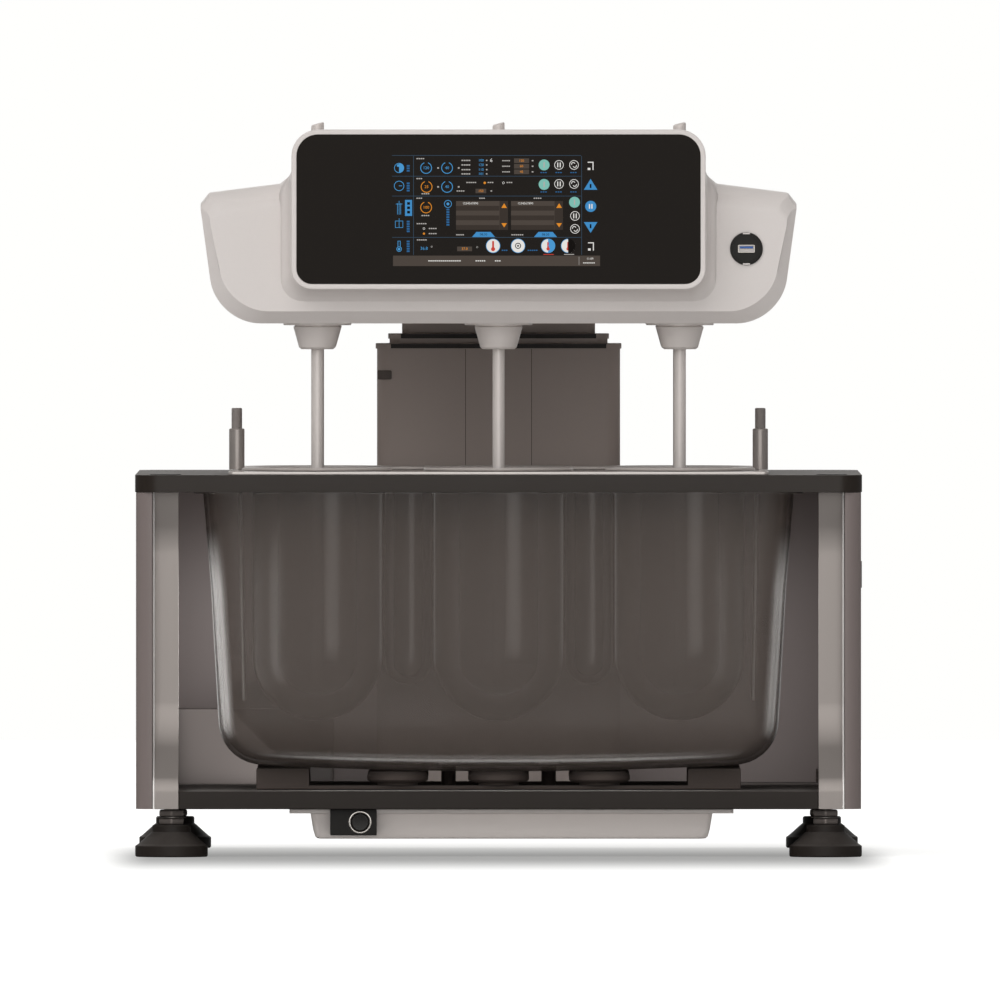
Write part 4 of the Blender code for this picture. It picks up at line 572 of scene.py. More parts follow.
# legs, covers and rear panel
leg = {"line": [(-236, 39.6), (-228, 39.6), (-228, 61.5), (-206, 109.5), (-206, 262), (-213.6, 300.9),
                (-222, 300.9), (-214, 262), (-214, 108), (-236, 60)],
       "radii": [0, 0, 30, 90, 90, 0, 0, 110, 90, 30], "edge": 0.3, "body": (264.1, 283.8),
       "strip": (283.8, 285.3)}
cover = {"corners": [(285.6, -236), (299.2, -236), (299.2, 236), (285.6, 236), (285.6, 234), (297.2, 234),
                     (297.2, -234), (285.6, -234)],
         "radii": [0.6, 12.5, 2.4, 0.6, 0.6, 0.8, 10.5, 0.6], "levels": (39.7, 300.8)}
# each leg is a body and a thin outer strip; the strip's brighter steel is a painted highlight along the leg's
# outer edge
for side, word in sides:
    for name, (low, high), finish, node in (
            ("frontLeg", leg["body"], "legSteel", f"front_leg_{word}"),
            ("legHighlight", leg["strip"], "highlightSteel", ())):
        shape = pull(section(leg["line"], leg["radii"], "x", low, 10), (high - low, 0, 0))
        shape = onSide(soften(shape, leg["edge"], 2, 60), side)
        addPiece(f"{name}_{word}", shape, finish, replaces=node, slot="polished_steel")
for side, word in sides:
    shape = pull(section(cover["corners"], cover["radii"], "z", cover["levels"][0]), rise(cover["levels"]))
    addPiece(f"sideCover_{word}", onSide(shape, side), "coverPaint", replaces=f"side_cover_{word}",
             slot="cover_paint")
latch = {"along": (-205, -165), "up": (222, 244), "level": 299.1, "height": 0.85, "corner": 3, "edge": 0.3}
plate = rectangle(latch["along"], latch["up"], latch["corner"], "x", latch["level"])
addPiece("latchPlate", soften(pull(plate, (latch["height"], 0, 0)), latch["edge"]), "blackPlastic")

panel = {"across": (-293.2, 293.2), "up": (39.6, 300.9), "front": 236.3, "depth": 2, "corner": 6,
         "edge": 0.25, "inlet": (15.8, 11.8), "inletCorner": 0.5,
         "louvres": {"places": ((-205, 190), (165, 190)), "count": 9, "pitch": 9, "half": 33, "height": 4,
                     "corner": 1.9, "level": 238.1},
         "screws": {"places": [(x, z) for x in (-283.2, 283.2) for z in (52, 170, 288)], "radius": 3.4,
                    "height": 1.3, "level": 238.3}}
inlet = {"place": (-205, 126.5), "face": 238.6, "flange": (24, 14), "flangeCorner": 4, "flangeDepth": 1.4,
         "flangeEdge": 0.3, "walls": (15.5, 11.5), "wallsCorner": 1, "wallsFace": 238.8,
         "cavity": (12.25, 8.25), "cavityCorners": [1, 1, 4, 4], "cavityDepth": 15, "back": (216.6, 224.1),
         "pins": ((-7, -2), (0, 3), (7, -2)), "pin": (1, 2), "pinAlong": (223.6, 235.6), "pinEdge": 0.5}
slat = {"proud": 0.5, "edge": 0.15, "steps": 4}
screw = {"round": 0.55, "bottomRound": 0.1, "steps": 28, "socket": 0.42, "gap": 0.02, "slope": 0.06,
         "deep": 0.5}


def upright(place, half, corner, level):
    # the outline of an upright plate round a place
    return rectangle(around(place[0], half[0]), around(place[-1], half[1]), corner, "y", level)


def addSlats(name, body, places, count, pitch, half, height, corner, level):
    # rows of low raised slats on a rear face
    slats = bmesh.new()
    for middle, low in places:
        for row in range(count):
            bottom = low + row * pitch
            line = rectangle(around(middle, half), (bottom, bottom + height), corner, "y", level,
                             slat["steps"])
            join(slats, soften(pull(line, (0, slat["proud"], 0)), slat["edge"], 1))
    addPiece(name, slats, "columnEdge", body)


def addScrews(name, body, places, radius, height, level):
    # domed heads with hexagon sockets on a rear face
    screws = bmesh.new()
    for across, up in places:
        dome = turned([(0, 0), (radius, 0), (radius, height), (0, height)],
                      [0, screw["bottomRound"], height * screw["round"], 0], steps=screw["steps"])
        socket = bmesh.new()
        bmesh.ops.create_circle(socket, cap_ends=True, segments=6, radius=radius * screw["socket"])
        shift(socket, (0, 0, height + screw["gap"]))
        bmesh.ops.inset_region(socket, faces=socket.faces[:], thickness=radius * screw["slope"],
                               depth=-height * screw["deep"])
        join(dome, faceRight(socket))
        rotate(dome, -math.pi / 2, "X")
        shift(dome, (across, level, up))
        join(screws, dome)
    addPiece(name, screws, "screwSteel", body)


shape = rectangle(panel["across"], panel["up"], panel["corner"], "y", panel["front"])
hole = upright(inlet["place"], panel["inlet"], panel["inletCorner"], panel["front"])
shape = pierced(shape, [hole], (0, panel["depth"], 0), panel["edge"], 1)
addPiece("rearPanel", shape, "coverPaint", replaces="rear_panel", slot="cover_paint")
addSlats("rearLouvres", "root", **panel["louvres"])
addScrews("rearScrews", "root", **panel["screws"])
for name, part, level, depth, edge, facts in (
        ("inletFlange", "flange", inlet["face"], inlet["flangeDepth"], inlet["flangeEdge"],
         {"replaces": "power_inlet", "slot": "black_plastic"}),
        ("inletWalls", "walls", inlet["wallsFace"], -inlet["cavityDepth"], 0, {})):
    shape = upright(inlet["place"], inlet[part], inlet[f"{part}Corner"], level)
    hole = upright(inlet["place"], inlet["cavity"], inlet["cavityCorners"], level)
    addPiece(name, pierced(shape, [hole], (0, depth, 0), edge), "blackPlastic", **facts)
x, z = inlet["place"]
back = box(around(x, inlet["walls"][0]), inlet["back"], around(z, inlet["walls"][1]))
addPiece("inletBack", back, "blackPlastic")
pins = bmesh.new()
for across, up in inlet["pins"]:
    join(pins, box(around(x + across, inlet["pin"][0]), inlet["pinAlong"], around(z + up, inlet["pin"][1]),
                   inlet["pinEdge"]))
addPiece("inletPins", pins, "contactBrass")
dress("supplyPaint", "power_supply")
dress("padRubber", "heater_pump_unit")
print("legs, covers and rear panel ready")

# water bath and what carries it
bath = {"half": (244, 157.5), "taper": 12.5, "wall": 4, "floor": 70, "rimTop": 300.9, "rimWidth": 8,
        "rimHeight": 1.1, "rimGap": 0.1, "rimEdge": 0.2,
        "flare": ((0.1, 299.6), (3.2, 262), (6.4, 222), (9.2, 170)),
        "corner": 24, "fillets": (37, 22), "bow": 5, "floorColumns": 15, "longEdge": 350, "filletSteps": 9}


def bathSpans(out):
    return around(0, bath["half"][0] + out), around(rowsMiddle, bath["half"][1] + out)


def bathRing(verts, fromHalf, toHalf, level, bow):
    # the corners keep their radius while the straight stretches shrink
    flats = [size - bath["corner"] for size in fromHalf]
    cuts = [start - end for start, end in zip(fromHalf, toHalf)]
    reach = bath["half"][0] - bath["taper"] - bath["fillets"][0]
    for vert in verts:
        local = [vert.co.x, vert.co.y - rowsMiddle]
        for axis in (0, 1):
            if abs(local[axis]) > flats[axis] - 0.01:
                local[axis] -= math.copysign(cuts[axis], local[axis])
            else:
                local[axis] *= (flats[axis] - cuts[axis]) / flats[axis]
        share = min(abs(local[0]) / reach, 1.0)
        vert.co = (local[0], rowsMiddle + local[1], level + bow * share * share)


def drawBath():
    start = bath["half"]
    shape = rectangle(*bathSpans(0), bath["corner"], "z", bath["rimTop"], 10)
    openUp(shape)
    long = [edge for edge in shape.edges if edge.calc_length() > bath["longEdge"]]
    bmesh.ops.subdivide_edges(shape, edges=long, cuts=bath["floorColumns"])
    steps = [([size - cut for size in start], level, 0) for cut, level in bath["flare"]]
    for step in range(bath["filletSteps"] + 1):
        angle = math.radians(90 * step / bath["filletSteps"])
        half = [size - bath["taper"] - fillet * (1 - math.cos(angle))
                for size, fillet in zip(start, bath["fillets"])]
        climb = bath["fillets"][0] * (1 - math.sin(angle))
        bow = bath["bow"] * math.sin(angle)
        steps.append((half, bath["floor"] + climb + bath["bow"] - bow, bow))
    edges, current = shape.edges[:], start
    for half, level, bow in steps:
        edges, verts = grow(shape, edges)
        bathRing(verts, current, half, level, bow)
        current = half
    # the floor closes along its middle line and keeps its bow
    edges, verts = grow(shape, edges)
    bmesh.ops.scale(shape, verts=verts, vec=(1, 0, 1), space=Matrix.Translation((0, -rowsMiddle, 0)))
    bmesh.ops.remove_doubles(shape, verts=verts, dist=0.01)
    return faceRight(shape)


addPiece("waterBath", drawBath(), "smokyAcrylic", replaces="water_bath", slot="smoky_acrylic",
         wall=bath["wall"], sharp=50, weighted=False)
outer, hole = [rectangle(*bathSpans(out), bath["corner"], "z", bath["rimTop"] - bath["rimHeight"])
               for out in (bath["rimWidth"], bath["rimGap"])]
shape = pierced(outer, [hole], (0, 0, bath["rimHeight"]), bath["rimEdge"], 1)
addPiece("bathRim", shape, "smokyAcrylic", slot="smoky_acrylic", weighted=False)

strainer = {"radius": 10, "height": 1.6, "level": 74.25, "places": (-41.5, 41.5), "holes": 6, "hole": 1.3,
            "ring": 5.5, "edge": 0.3, "steps": 40, "holeSteps": 12}
for number, x in enumerate(strainer["places"], 1):
    centre = Vector((x, rowsMiddle, strainer["level"]))
    turns = [2 * math.pi * spot / strainer["holes"] for spot in range(strainer["holes"])]
    spots = [centre] + [centre + strainer["ring"] * Vector((math.cos(turn), math.sin(turn), 0))
                        for turn in turns]
    holes = [disc(strainer["hole"], spot, strainer["holeSteps"]) for spot in spots]
    outer = disc(strainer["radius"], centre, strainer["steps"])
    shape = pierced(outer, holes, (0, 0, strainer["height"]), strainer["edge"], 1)
    addPiece(f"strainer_{number}", shape, "plateSteel")

support = {"rows": (("front", -147.5), ("rear", 42.5)), "across": (-200.3, 200.3), "levels": (54.8, 58),
           "half": 13, "edge": 0.6, "ends": ((-200.3, -156.4), (156.4, 200.3)), "endHalf": 13.6,
           "endLevels": (54.8, 72.2), "endEdge": 1.2, "pads": (-83.4, 0, 83.4), "padSteps": 48,
           "pad": ([(0, 58), (16.7, 58), (16.7, 60.5), (22.2, 60.5), (25.2, 62.5), (25.2, 66.5), (22.2, 69.7),
                    (9, 69.7), (7.5, 68.5), (0, 68.5)], [0, 0.4, 0.4, 0.8, 1, 1, 0.8, 0.4, 0.4, 0])}
for word, y in support["rows"]:
    shape = box(support["across"], around(y, support["half"]), support["levels"], support["edge"])
    for end in support["ends"]:
        join(shape, box(end, around(y, support["endHalf"]), support["endLevels"], support["endEdge"]))
    addPiece(f"supportBar_{word}", shape, "padRubber", replaces=f"bath_support_{word}", slot="dark_rubber")
    pads = join(bmesh.new(), *[turned(*support["pad"], (x, y, 0), support["padSteps"])
                               for x in support["pads"]])
    addPiece(f"supportPads_{word}", pads, "padRubber")
print("water bath ready")

# deck, vessel plate and what hangs in it
deck = {"half": (300, 240), "levels": (301.2, 315.3), "corner": 20, "edge": 1.2,
        "window": ((-219.3, 219.3), (-206, 101)), "windowCorner": 10, "column": (101.6, 49.3),
        "columnCorner": 12.3, "caps": ((-275, -205, 0), (275, -205, 0)), "cap": (13, 315.25, 315.85),
        "capEdge": 0.25, "capSteps": 48}
low = deck["levels"][0]
shape = rectangle(*[around(0, half) for half in deck["half"]], deck["corner"], "z", low)
holes = [rectangle(*deck["window"], deck["windowCorner"], "z", low),
         rectangle(around(0, deck["column"][0]), around(columnMiddle, deck["column"][1]),
                   deck["columnCorner"], "z", low)]
shape = pierced(shape, holes, rise(deck["levels"]), deck["edge"], 3)
addPiece("deckFrame", shape, "deckPaint", replaces="deck_frame", slot="dark_paint")
caps = [rod(*deck["cap"], place, deck["capEdge"], deck["capSteps"]) for place in deck["caps"]]
addPiece("legCaps", join(bmesh.new(), *caps), "blackPlastic")

# radius, distance from the middle and steps of the holes for the tubes and the probes
plateFacts = {"spans": ((-222.8, 222.8), (-222, 116)), "corner": 4, "levels": (315.6, 317.8), "edge": 0.5,
              "vesselHole": (53.8, 64), "sideHoles": ((19.55, 75, 40), (1.8, 217, 16))}
low = plateFacts["levels"][0]
shape = rectangle(*plateFacts["spans"], plateFacts["corner"], "z", low)
radius, steps = plateFacts["vesselHole"]
holes = [disc(radius, (x, y, low), steps) for x, y in stations]
holes += [disc(radius, (side * x, rowsMiddle, low), steps)
          for radius, x, steps in plateFacts["sideHoles"] for side in (-1, 1)]
shape = pierced(shape, holes, rise(plateFacts["levels"]), plateFacts["edge"])
addPiece("vesselPlate", shape, "plateSteel", replaces="vessel_plate", slot="polished_steel")

flange = {"low": 318.1, "top": 320.6, "edge": 1.1}
vessel = {"outer": 53.5, "inner": 51, "bottom": 111.4, "flange": 62, "neck": 1.5, "lip": 1.2, "steps": 72}
tube = {"x": 75, "outer": 19.25, "inner": 17.45, "bottom": 139.5, "flange": 23.75, "neck": 0.8, "lip": 1,
        "steps": 56}


def hangCup(name, node, cup, place):
    # a round-bottomed glass that hangs in the plate by its flange
    outer, inner, wide, bottom = cup["outer"], cup["inner"], cup["flange"], cup["bottom"]
    low, top, edge = flange["low"], flange["top"], flange["edge"]
    inside = bottom + outer - inner
    shape = turned(
        [(0, bottom), (outer, bottom), (outer, low), (wide, low), (wide, top), (inner, top), (inner, inside),
         (0, inside)], [0, outer, cup["neck"], edge, edge, cup["lip"], inner, 0], place, cup["steps"])
    piece = addPiece(name, shape, "shadedVesselGlass", replaces=node, slot="clear_glass", sharp=60, weighted=False)
    # the rim above the plate keeps the lighter glass; the darker glass below it is painted shade
    markAbove(piece, low + 0.2, "rimGlass")


for number, (x, y) in enumerate(stations, 1):
    hangCup(f"vessel_{number}_glass", f"vessel_{number}", vessel, (x, y, 0))
for side, word in sides:
    hangCup(f"mediumTube_{word}", f"medium_tube_{word}", tube, (side * tube["x"], rowsMiddle, 0))

probe = {"x": 217, "sleeve": ([(0, 318.1), (6.4, 318.1), (6.4, 352.3), (4.4, 352.3), (0, 352.3)],
                              [0, 0.5, 1.1, 0, 0]), "stub": (4.4, 351.8, 369.3), "rod": (1.5, 126.3, 318.6),
         "rodX": 214.6, "bend": 200, "lean": 3.8, "sleeveSteps": 40, "stubEdge": 0.9, "rodEdge": 1.2,
         "rodSteps": 20}
for side, word in sides:
    place = (side * probe["x"], rowsMiddle, 0)
    sleeve = turned(*probe["sleeve"], place, probe["sleeveSteps"])
    addPiece(f"probeSleeve_{word}", sleeve, "probeSteel", replaces=f"temperature_probe_{word}",
             slot="polished_steel")
    addPiece(f"probeStub_{word}", rod(*probe["stub"], place, probe["stubEdge"]), "probeThread")
    thin = rod(*probe["rod"], (side * probe["rodX"], rowsMiddle, 0), probe["rodEdge"], probe["rodSteps"])
    for vert in thin.verts:
        if vert.co.z < probe["bend"]:
            vert.co.x -= side * probe["lean"]
    addPiece(f"probeRod_{word}", thin, "rodSteel")
print("deck, vessels and probes ready")

# telescoping column
column = {"half": (101.3, 49), "corner": 12, "step": 10.4, "sheet": 2, "lip": 4.1, "proud": 1.1, "edge": 0.4,
          "guide": (10, 10.1), "play": 0.5, "band": (1.15, -1), "bandGaps": (0.2, 0.1), "bandEdge": 0.1,
          "seams": (-27.5, 27.5), "seamHalf": 0.2, "seamDeep": (126.92, 127.5), "seamUp": (320, 417),
          "seamEdge": 0.05, "tab": ((-101, -89), (391.6, 399.2)), "tabCorner": 1.2, "tabFront": 126.2,
          "tabDepth": 1, "tabEdge": 0.25,
          "stages": (("outer", "root", 54.8, 421.4), ("middle", "middle_stage", 89.5, 429.6),
                     ("inner", "head", 99.5, 439.7))}


def stageSpans(half, out=0):
    return around(0, half[0] + out), around(columnMiddle, half[1] + out)


for number, (word, body, low, high) in enumerate(column["stages"]):
    half = [size - number * column["step"] for size in column["half"]]
    corner = column["corner"] - 2 * number
    shape = rectangle(*stageSpans(half), corner, "z", low, 5)
    openUp(shape)
    sheet, proud, edge = column["sheet"], column["proud"], column["edge"]
    mouth = column["step"] - column["play"]
    lip = high - column["lip"]
    guide, ledge = [low + climb for climb in column["guide"]]
    steps = [(sheet - mouth, low), (sheet - mouth, guide), (0, ledge)] if number else []
    lipped = word != "inner"
    if lipped:
        steps += [(0, lip), (-proud, lip), (-proud, high - edge), (edge - proud, high), (mouth, high),
                  (mouth, lip), (sheet, lip), (sheet, low)]
    else:
        steps += [(0, high), (sheet, high), (sheet, low)]
    start = shape.edges[:]
    last = drawRing(shape, start, half, (0, columnMiddle), steps)
    bmesh.ops.bridge_loops(shape, edges=start + last)
    addPiece(f"columnStage_{word}", faceRight(shape), "columnPaint", body, f"column_{word}", "column_paint")
    if lipped:
        under, over = column["bandGaps"]
        band, hole = [rectangle(*stageSpans(half, out), corner + math.copysign(1, out), "z", lip + under, 5)
                      for out in column["band"]]
        band = pierced(band, [hole], (0, 0, column["lip"] - under - over), column["bandEdge"], 1)
        addPiece(f"columnBand_{word}", band, "columnEdge", body)
seams = [box(around(x, column["seamHalf"]), column["seamDeep"], column["seamUp"], column["seamEdge"], 1)
         for x in column["seams"]]
addPiece("columnSeams", join(bmesh.new(), *seams), "columnEdge")
tab = rectangle(*column["tab"], column["tabCorner"], "y", column["tabFront"])
addPiece("columnTab", soften(pull(tab, (0, column["tabDepth"], 0)), column["tabEdge"]), "tabPaint")
dress("bareSheet", "lift_actuator_body", "lift_carriage")
dress("shaftSteel", "lift_actuator_rod", "lift_guide")
print("column ready")

# drive head
head = {
    "corners": [(233.7, 440), (246.4, 539), (239.3, 548), (180.7, 555.4), (174.2, 560.7), (169.8, 566),
                (169.8, 598.8)],
    "radii": [42, 2, 2, 4, 3, 3, 20], "faceY": -175, "chamferY": -165, "splitY": -60, "roundY": 205,
    "backY": 235, "seam": 0.5, "sideCut": 8.4, "lowCut": 10.3, "backCut": 12, "wall": 3, "top": 598.8,
    "bottom": 440, "widest": 246.4, "brow": 22, "browUp": (516, 560), "browX": 174.2, "browSteps": 8,
    "faceSteps": (1.2, 4), "rearTaper": (1.5, 3), "edge": 1, "roundSteps": 7,
}


def headOutline(level):
    left = [(-x, z) for x, z in reversed(head["corners"])]
    shape = section(head["corners"] + left, head["radii"] + head["radii"][::-1], "y", level)
    openUp(shape)
    return shape


def headStep(shape, edges, level, side, low, top):
    # the next ring of the shell, drawn in at the sides, the bottom and the top
    edges, verts = grow(shape, edges)
    for vert in verts:
        climb = (vert.co.z - head["bottom"]) / (head["top"] - head["bottom"])
        vert.co.x *= 1 - side / head["widest"]
        vert.co.z += low * (1 - climb) - top * climb
    bmesh.ops.translate(shape, verts=verts, vec=(0, level - verts[0].co.y, 0))
    return edges


def browDrop(level):
    # how far the top of the wings has rounded down at a depth
    depth = head["brow"] - (level - head["faceY"])
    return head["brow"] - math.sqrt(head["brow"] ** 2 - max(depth, 0) ** 2)


def addShell(name, shape, ring, node):
    bmesh.ops.holes_fill(shape, edges=ring, sides=0)
    faceRight(shape)
    crease = [edge for edge in sharpEdges(shape, 0.5)
              if all(vert.co.y < head["chamferY"] + 1 for vert in edge.verts)]
    if crease:
        roundEdges(shape, crease, head["edge"], 3)
    addPiece(name, shape, "headPaint", "head", node, "head_paint", wall=head["wall"], sharp=40)


shape = headOutline(head["splitY"] - head["seam"] / 2)
levels = [head["faceY"] + head["brow"] * (1 - math.sin(math.radians(90 * step / head["browSteps"])))
          for step in range(head["browSteps"] + 1)]
levels += [head["chamferY"]] + [head["faceY"] + step for step in head["faceSteps"]]
ring, cutDone, dropDone = shape.edges[:], 0, 0
for level in sorted(levels, reverse=True):
    share = max(0, (head["chamferY"] - level) / (head["chamferY"] - head["faceY"]))
    cut = share - cutDone
    ring = headStep(shape, ring, level, head["sideCut"] * cut, head["lowCut"] * cut, 0)
    drop = browDrop(level)
    for vert in {vert for edge in ring for vert in edge.verts}:
        if head["browUp"][0] < vert.co.z < head["browUp"][1] and abs(vert.co.x) > head["browX"]:
            vert.co.z -= drop - dropDone
    cutDone, dropDone = share, drop
addShell("headFrontShell", shape, ring, "head_front_shell")

shape = headOutline(head["splitY"] + head["seam"] / 2)
ring = headStep(shape, shape.edges[:], head["roundY"], head["rearTaper"][0], 0, head["rearTaper"][1])
done = 0
for step in range(1, head["roundSteps"] + 1):
    angle = math.radians(90 * step / head["roundSteps"])
    cut = head["backCut"] * (1 - math.cos(angle)) - done
    level = head["roundY"] + (head["backY"] - head["roundY"]) * math.sin(angle)
    ring = headStep(shape, ring, level, cut, cut / 2, cut)
    done += cut
addShell("headRearCover", shape, ring, "head_rear_cover")

# the block that carries the screen, flared where it meets the head
block = {"half": 171, "low": 468.4, "top": 600.3, "radii": [17, 17, 22, 22], "frontY": -205, "backY": -174,
         "flare": 10.2, "lowFlare": 11.4, "waist": 557, "blend": 6, "rim": 4.4, "recess": 6.3, "edge": 0.9,
         "sideEdge": 80, "sideCuts": 14,
         "steps": ((0.33, 0.07), (0.6, 0.22), (0.78, 0.42), (0.9, 0.66), (1.0, 1.0), (1.78, 1.0))}
shape = rectangle(around(0, block["half"]), (block["low"], block["top"]), block["radii"], "y",
                  block["frontY"], 10)
openUp(shape)
sideEdges = [edge for edge in shape.edges
             if abs(edge.verts[0].co.z - edge.verts[1].co.z) > block["sideEdge"]]
bmesh.ops.subdivide_edges(shape, edges=sideEdges, cuts=block["sideCuts"])
ring = shape.edges[:]
front = bmesh.ops.contextual_create(shape, geom=ring)["faces"]
done = 0
for depth, share in block["steps"]:
    ring, verts = grow(shape, ring)
    for vert in verts:
        lower = max(0.0, min(1.0, (block["waist"] + block["blend"] - vert.co.z) / (2 * block["blend"])))
        out = min(1.0, abs(vert.co.x) / block["half"]) ** 4 * lower * block["flare"] * (share - done)
        vert.co.x += math.copysign(out, vert.co.x)
        drop = max(0.0, min(1.0, (block["waist"] - vert.co.z) / (block["waist"] - block["low"])))
        vert.co.z -= block["lowFlare"] * (share - done) * drop ** 2
    level = block["frontY"] + (block["backY"] - block["frontY"]) * depth
    bmesh.ops.translate(shape, verts=verts, vec=(0, level - verts[0].co.y, 0))
    done = share
bmesh.ops.inset_region(shape, faces=front, thickness=block["rim"], use_even_offset=True)
drawFaces(shape, front, (0, block["recess"], 0))
bmesh.ops.delete(shape, geom=front, context="FACES_ONLY")
faceRight(shape)
edges = [edge for edge in sharpEdges(shape, 1)
         if all(abs(vert.co.y - block["frontY"]) < 0.01 for vert in edge.verts)]
roundEdges(shape, edges, block["edge"], 3)
addPiece("screenBlock", shape, "headPaint", "head", slot="head_paint", sharp=50)

screen = {"spans": ((-166.9, 166.9), (472.9, 596.4)), "radii": [12.9, 12.9, 17.9, 17.9], "frontY": -204.95,
          "thickness": 5.9, "edge": 0.35}
shape = rectangle(*screen["spans"], screen["radii"], "y", screen["frontY"], 10)
shape = pull(shape, (0, screen["thickness"], 0))
addPiece("screenGlass", soften(shape, screen["edge"], 2, 60), "glassBlack", "head", "touch_screen",
         "screen_glass", sharp=60)
dress("boardGreen", "control_board")

carrier = {"spans": ((-185, 185), (-164.5, 214.5), (443.3, 448)), "edge": 0.5,
           "nose": ([(5.8, 418.5), (13.1, 418.5), (15.1, 420.1), (19.85, 437.1), (18.45, 437.3),
                     (18.45, 438.4), (28, 438.4), (28, 440.2), (5.8, 440.2)],
                    [0.4, 0.5, 0.5, 0.4, 0.2, 0, 0.5, 0.2, 0]),
           "bush": ([(5.4, 598.5), (6.6, 598.5), (6.6, 599), (5.4, 599)], [0, 0, 0.2, 0.2]),
           "noseSteps": 64, "bushSteps": 40}
shape = box(*carrier["spans"], carrier["edge"])
addPiece("carrierPlate", shape, "carrierMetal", "head", "spindle_carrier", "machined_aluminium")
paddle = {"shaft": (5, 140, 606.5), "edge": 1.4, "slantAbove": 600, "slant": 0.27, "thickness": 4,
          "blade": [(-21, 138.9), (21, 138.9), (34.75, 147.9), (37.25, 157.9), (-37.25, 157.9),
                    (-34.75, 147.9)],
          "bladeRadii": [3, 3, 12, 0.8, 0.8, 12], "bladeEdge": 0.5, "steps": 40}
for number, (x, y) in enumerate(stations, 1):
    nose = turned(*carrier["nose"], (x, y, 0), carrier["noseSteps"])
    addPiece(f"spindleNose_{number}", nose, "noseMetal", "head", slot="machined_aluminium")
for number, (x, y) in enumerate(stations, 1):
    place = (x, y, 0)
    shape = rod(*paddle["shaft"], place, paddle["edge"], paddle["steps"])
    for vert in shape.verts:
        if vert.co.z > paddle["slantAbove"]:
            vert.co.z += paddle["slant"] * (vert.co.x - x - paddle["shaft"][0])
    blade = section([(x + across, up) for across, up in paddle["blade"]], paddle["bladeRadii"], "y",
                    y - paddle["thickness"] / 2)
    join(shape, soften(pull(blade, (0, paddle["thickness"], 0)), paddle["bladeEdge"]))
    addPiece(f"paddleShaft_{number}", shape, "shaftSteel", f"station_{number}", f"paddle_{number}",
             "turned_steel")
    bush = turned(*carrier["bush"], place, carrier["bushSteps"])
    addPiece(f"shaftBush_{number}", bush, "blackPlastic", "head")
dress("shaftSteel", *[f"spindle_{number}" for number in range(1, 7)], "motor_pulley")
dress("bareSheet", "tension_pulley")
dress("beltRubber", "drive_belt")
dress("castMetal", "drive_motor")
print("head, noses and paddles ready")

# socket and service side of the head
usb = {"place": (204.8, -175.3, 501.8), "ringSteps": 64,
       "ring": ([(11.4, -1.2), (13.6, -1.2), (13.6, 0), (11.4, 0)], [0.2, 0.7, 0, 0]),
       "face": 11.45, "faceSteps": 56, "faceLevel": -0.7, "faceDepth": 3, "faceEdge": 0.15,
       "shell": (6.9, 3.2), "shellCorner": 0.6, "shellLevel": -1.1, "shellDepth": 11, "shellEdge": 0.1,
       "slot": (6.3, 2.6), "slotCorner": 0.3, "tongue": ((-5.4, 5.4), (-0.6, 9), (0.1, 1.9)),
       "tongueEdge": 0.2, "contact": ((-0.5, 0.5), (-0.4, 8), (-0.2, 0.12)),
       "contacts": (-3.6, -1.2, 1.2, 3.6), "tab": ((-3, 3), (-1.35, -0.9), (-0.7, 0.7)),
       "tabs": (-12.6, 12.6), "tabEdge": 0.2}
x, y, z = usb["place"]


def blockAt(across, up, spans, edge, segments=2):
    # a block whose spans are measured from a place beside the socket's middle
    middle = (x + across, y, z + up)
    return box(*[(part + low, part + high) for part, (low, high) in zip(middle, spans)], edge, segments)


addPiece("socketRing", turned(*usb["ring"], usb["place"], usb["ringSteps"], "y"), "blackPlastic", "head",
         "usb_port", "black_plastic")
level = y + usb["faceLevel"]
hole = upright(usb["place"], usb["slot"], usb["slotCorner"], level)
shape = pierced(disc(usb["face"], (x, level, z), usb["faceSteps"], True), [hole], (0, usb["faceDepth"], 0),
                usb["faceEdge"], 1)
addPiece("socketFace", shape, "blackPlastic", "head")
level = y + usb["shellLevel"]
hole = upright(usb["place"], usb["slot"], usb["slotCorner"], level)
shape = pierced(upright(usb["place"], usb["shell"], usb["shellCorner"], level), [hole],
                (0, usb["shellDepth"], 0), usb["shellEdge"], 1)
addPiece("socketShell", shape, "socketMetal", "head")
addPiece("socketTongue", blockAt(0, 0, usb["tongue"], usb["tongueEdge"]), "tongueBlue", "head")
contacts = join(bmesh.new(), *[blockAt(across, 0, usb["contact"], 0) for across in usb["contacts"]])
addPiece("socketContacts", contacts, "contactBrass", "head")
tabs = join(bmesh.new(), *[blockAt(0, up, usb["tab"], usb["tabEdge"], 1) for up in usb["tabs"]])
addPiece("socketTabs", tabs, "rimPaint", "head")
service = {"vents": {"places": ((-110, 478), (110, 478)), "count": 7, "pitch": 8, "half": 46, "height": 3.4,
                     "corner": 1.6, "level": 234.7},
           "screws": {"places": ((-205, 462), (205, 462), (-205, 532), (205, 532), (0, 462), (0, 585)),
                      "radius": 3.2, "height": 1.4, "level": 234.8}}
addSlats("rearVents", "head", **service["vents"])
addScrews("headScrews", "head", **service["screws"])
print("socket and service side ready")

# display
display = {"frontY": -205, "layer": 0.05, "firstLayer": 0.6, "layerStep": 0.25, "roundSteps": 28,
           "halfSteps": 32}
lamps = {
    "grey": (76, 68, 62), "dim": (58, 51, 46), "line": (56, 76, 94), "label": (48, 100, 148),
    "solid": (66, 140, 196), "teal": (126, 188, 176), "white": (226, 224, 220), "blue": (74, 150, 205),
    "orange": (222, 140, 44), "pale": (176, 172, 168), "red": (196, 66, 56), "dark": (20, 17, 15),
}
order = list(lamps)
marks = {name: bmesh.new() for name in order}


def addMark(name, mark, lift=0):
    # a mark lies on the glass, each colour a hair in front of the last
    layers = display["firstLayer"] + display["layerStep"] * (order.index(name) + lift)
    shift(mark, (0, display["frontY"] - display["layer"] * layers, 0))
    faceRight(mark)
    for face in mark.faces:
        if face.normal.y > 0:
            face.normal_flip()
    join(marks[name], mark)


def stand(mark, x, z):
    # a mark drawn lying down stands up at its place
    rotate(mark, math.pi / 2, "X")
    shift(mark, (x, 0, z))
    return mark


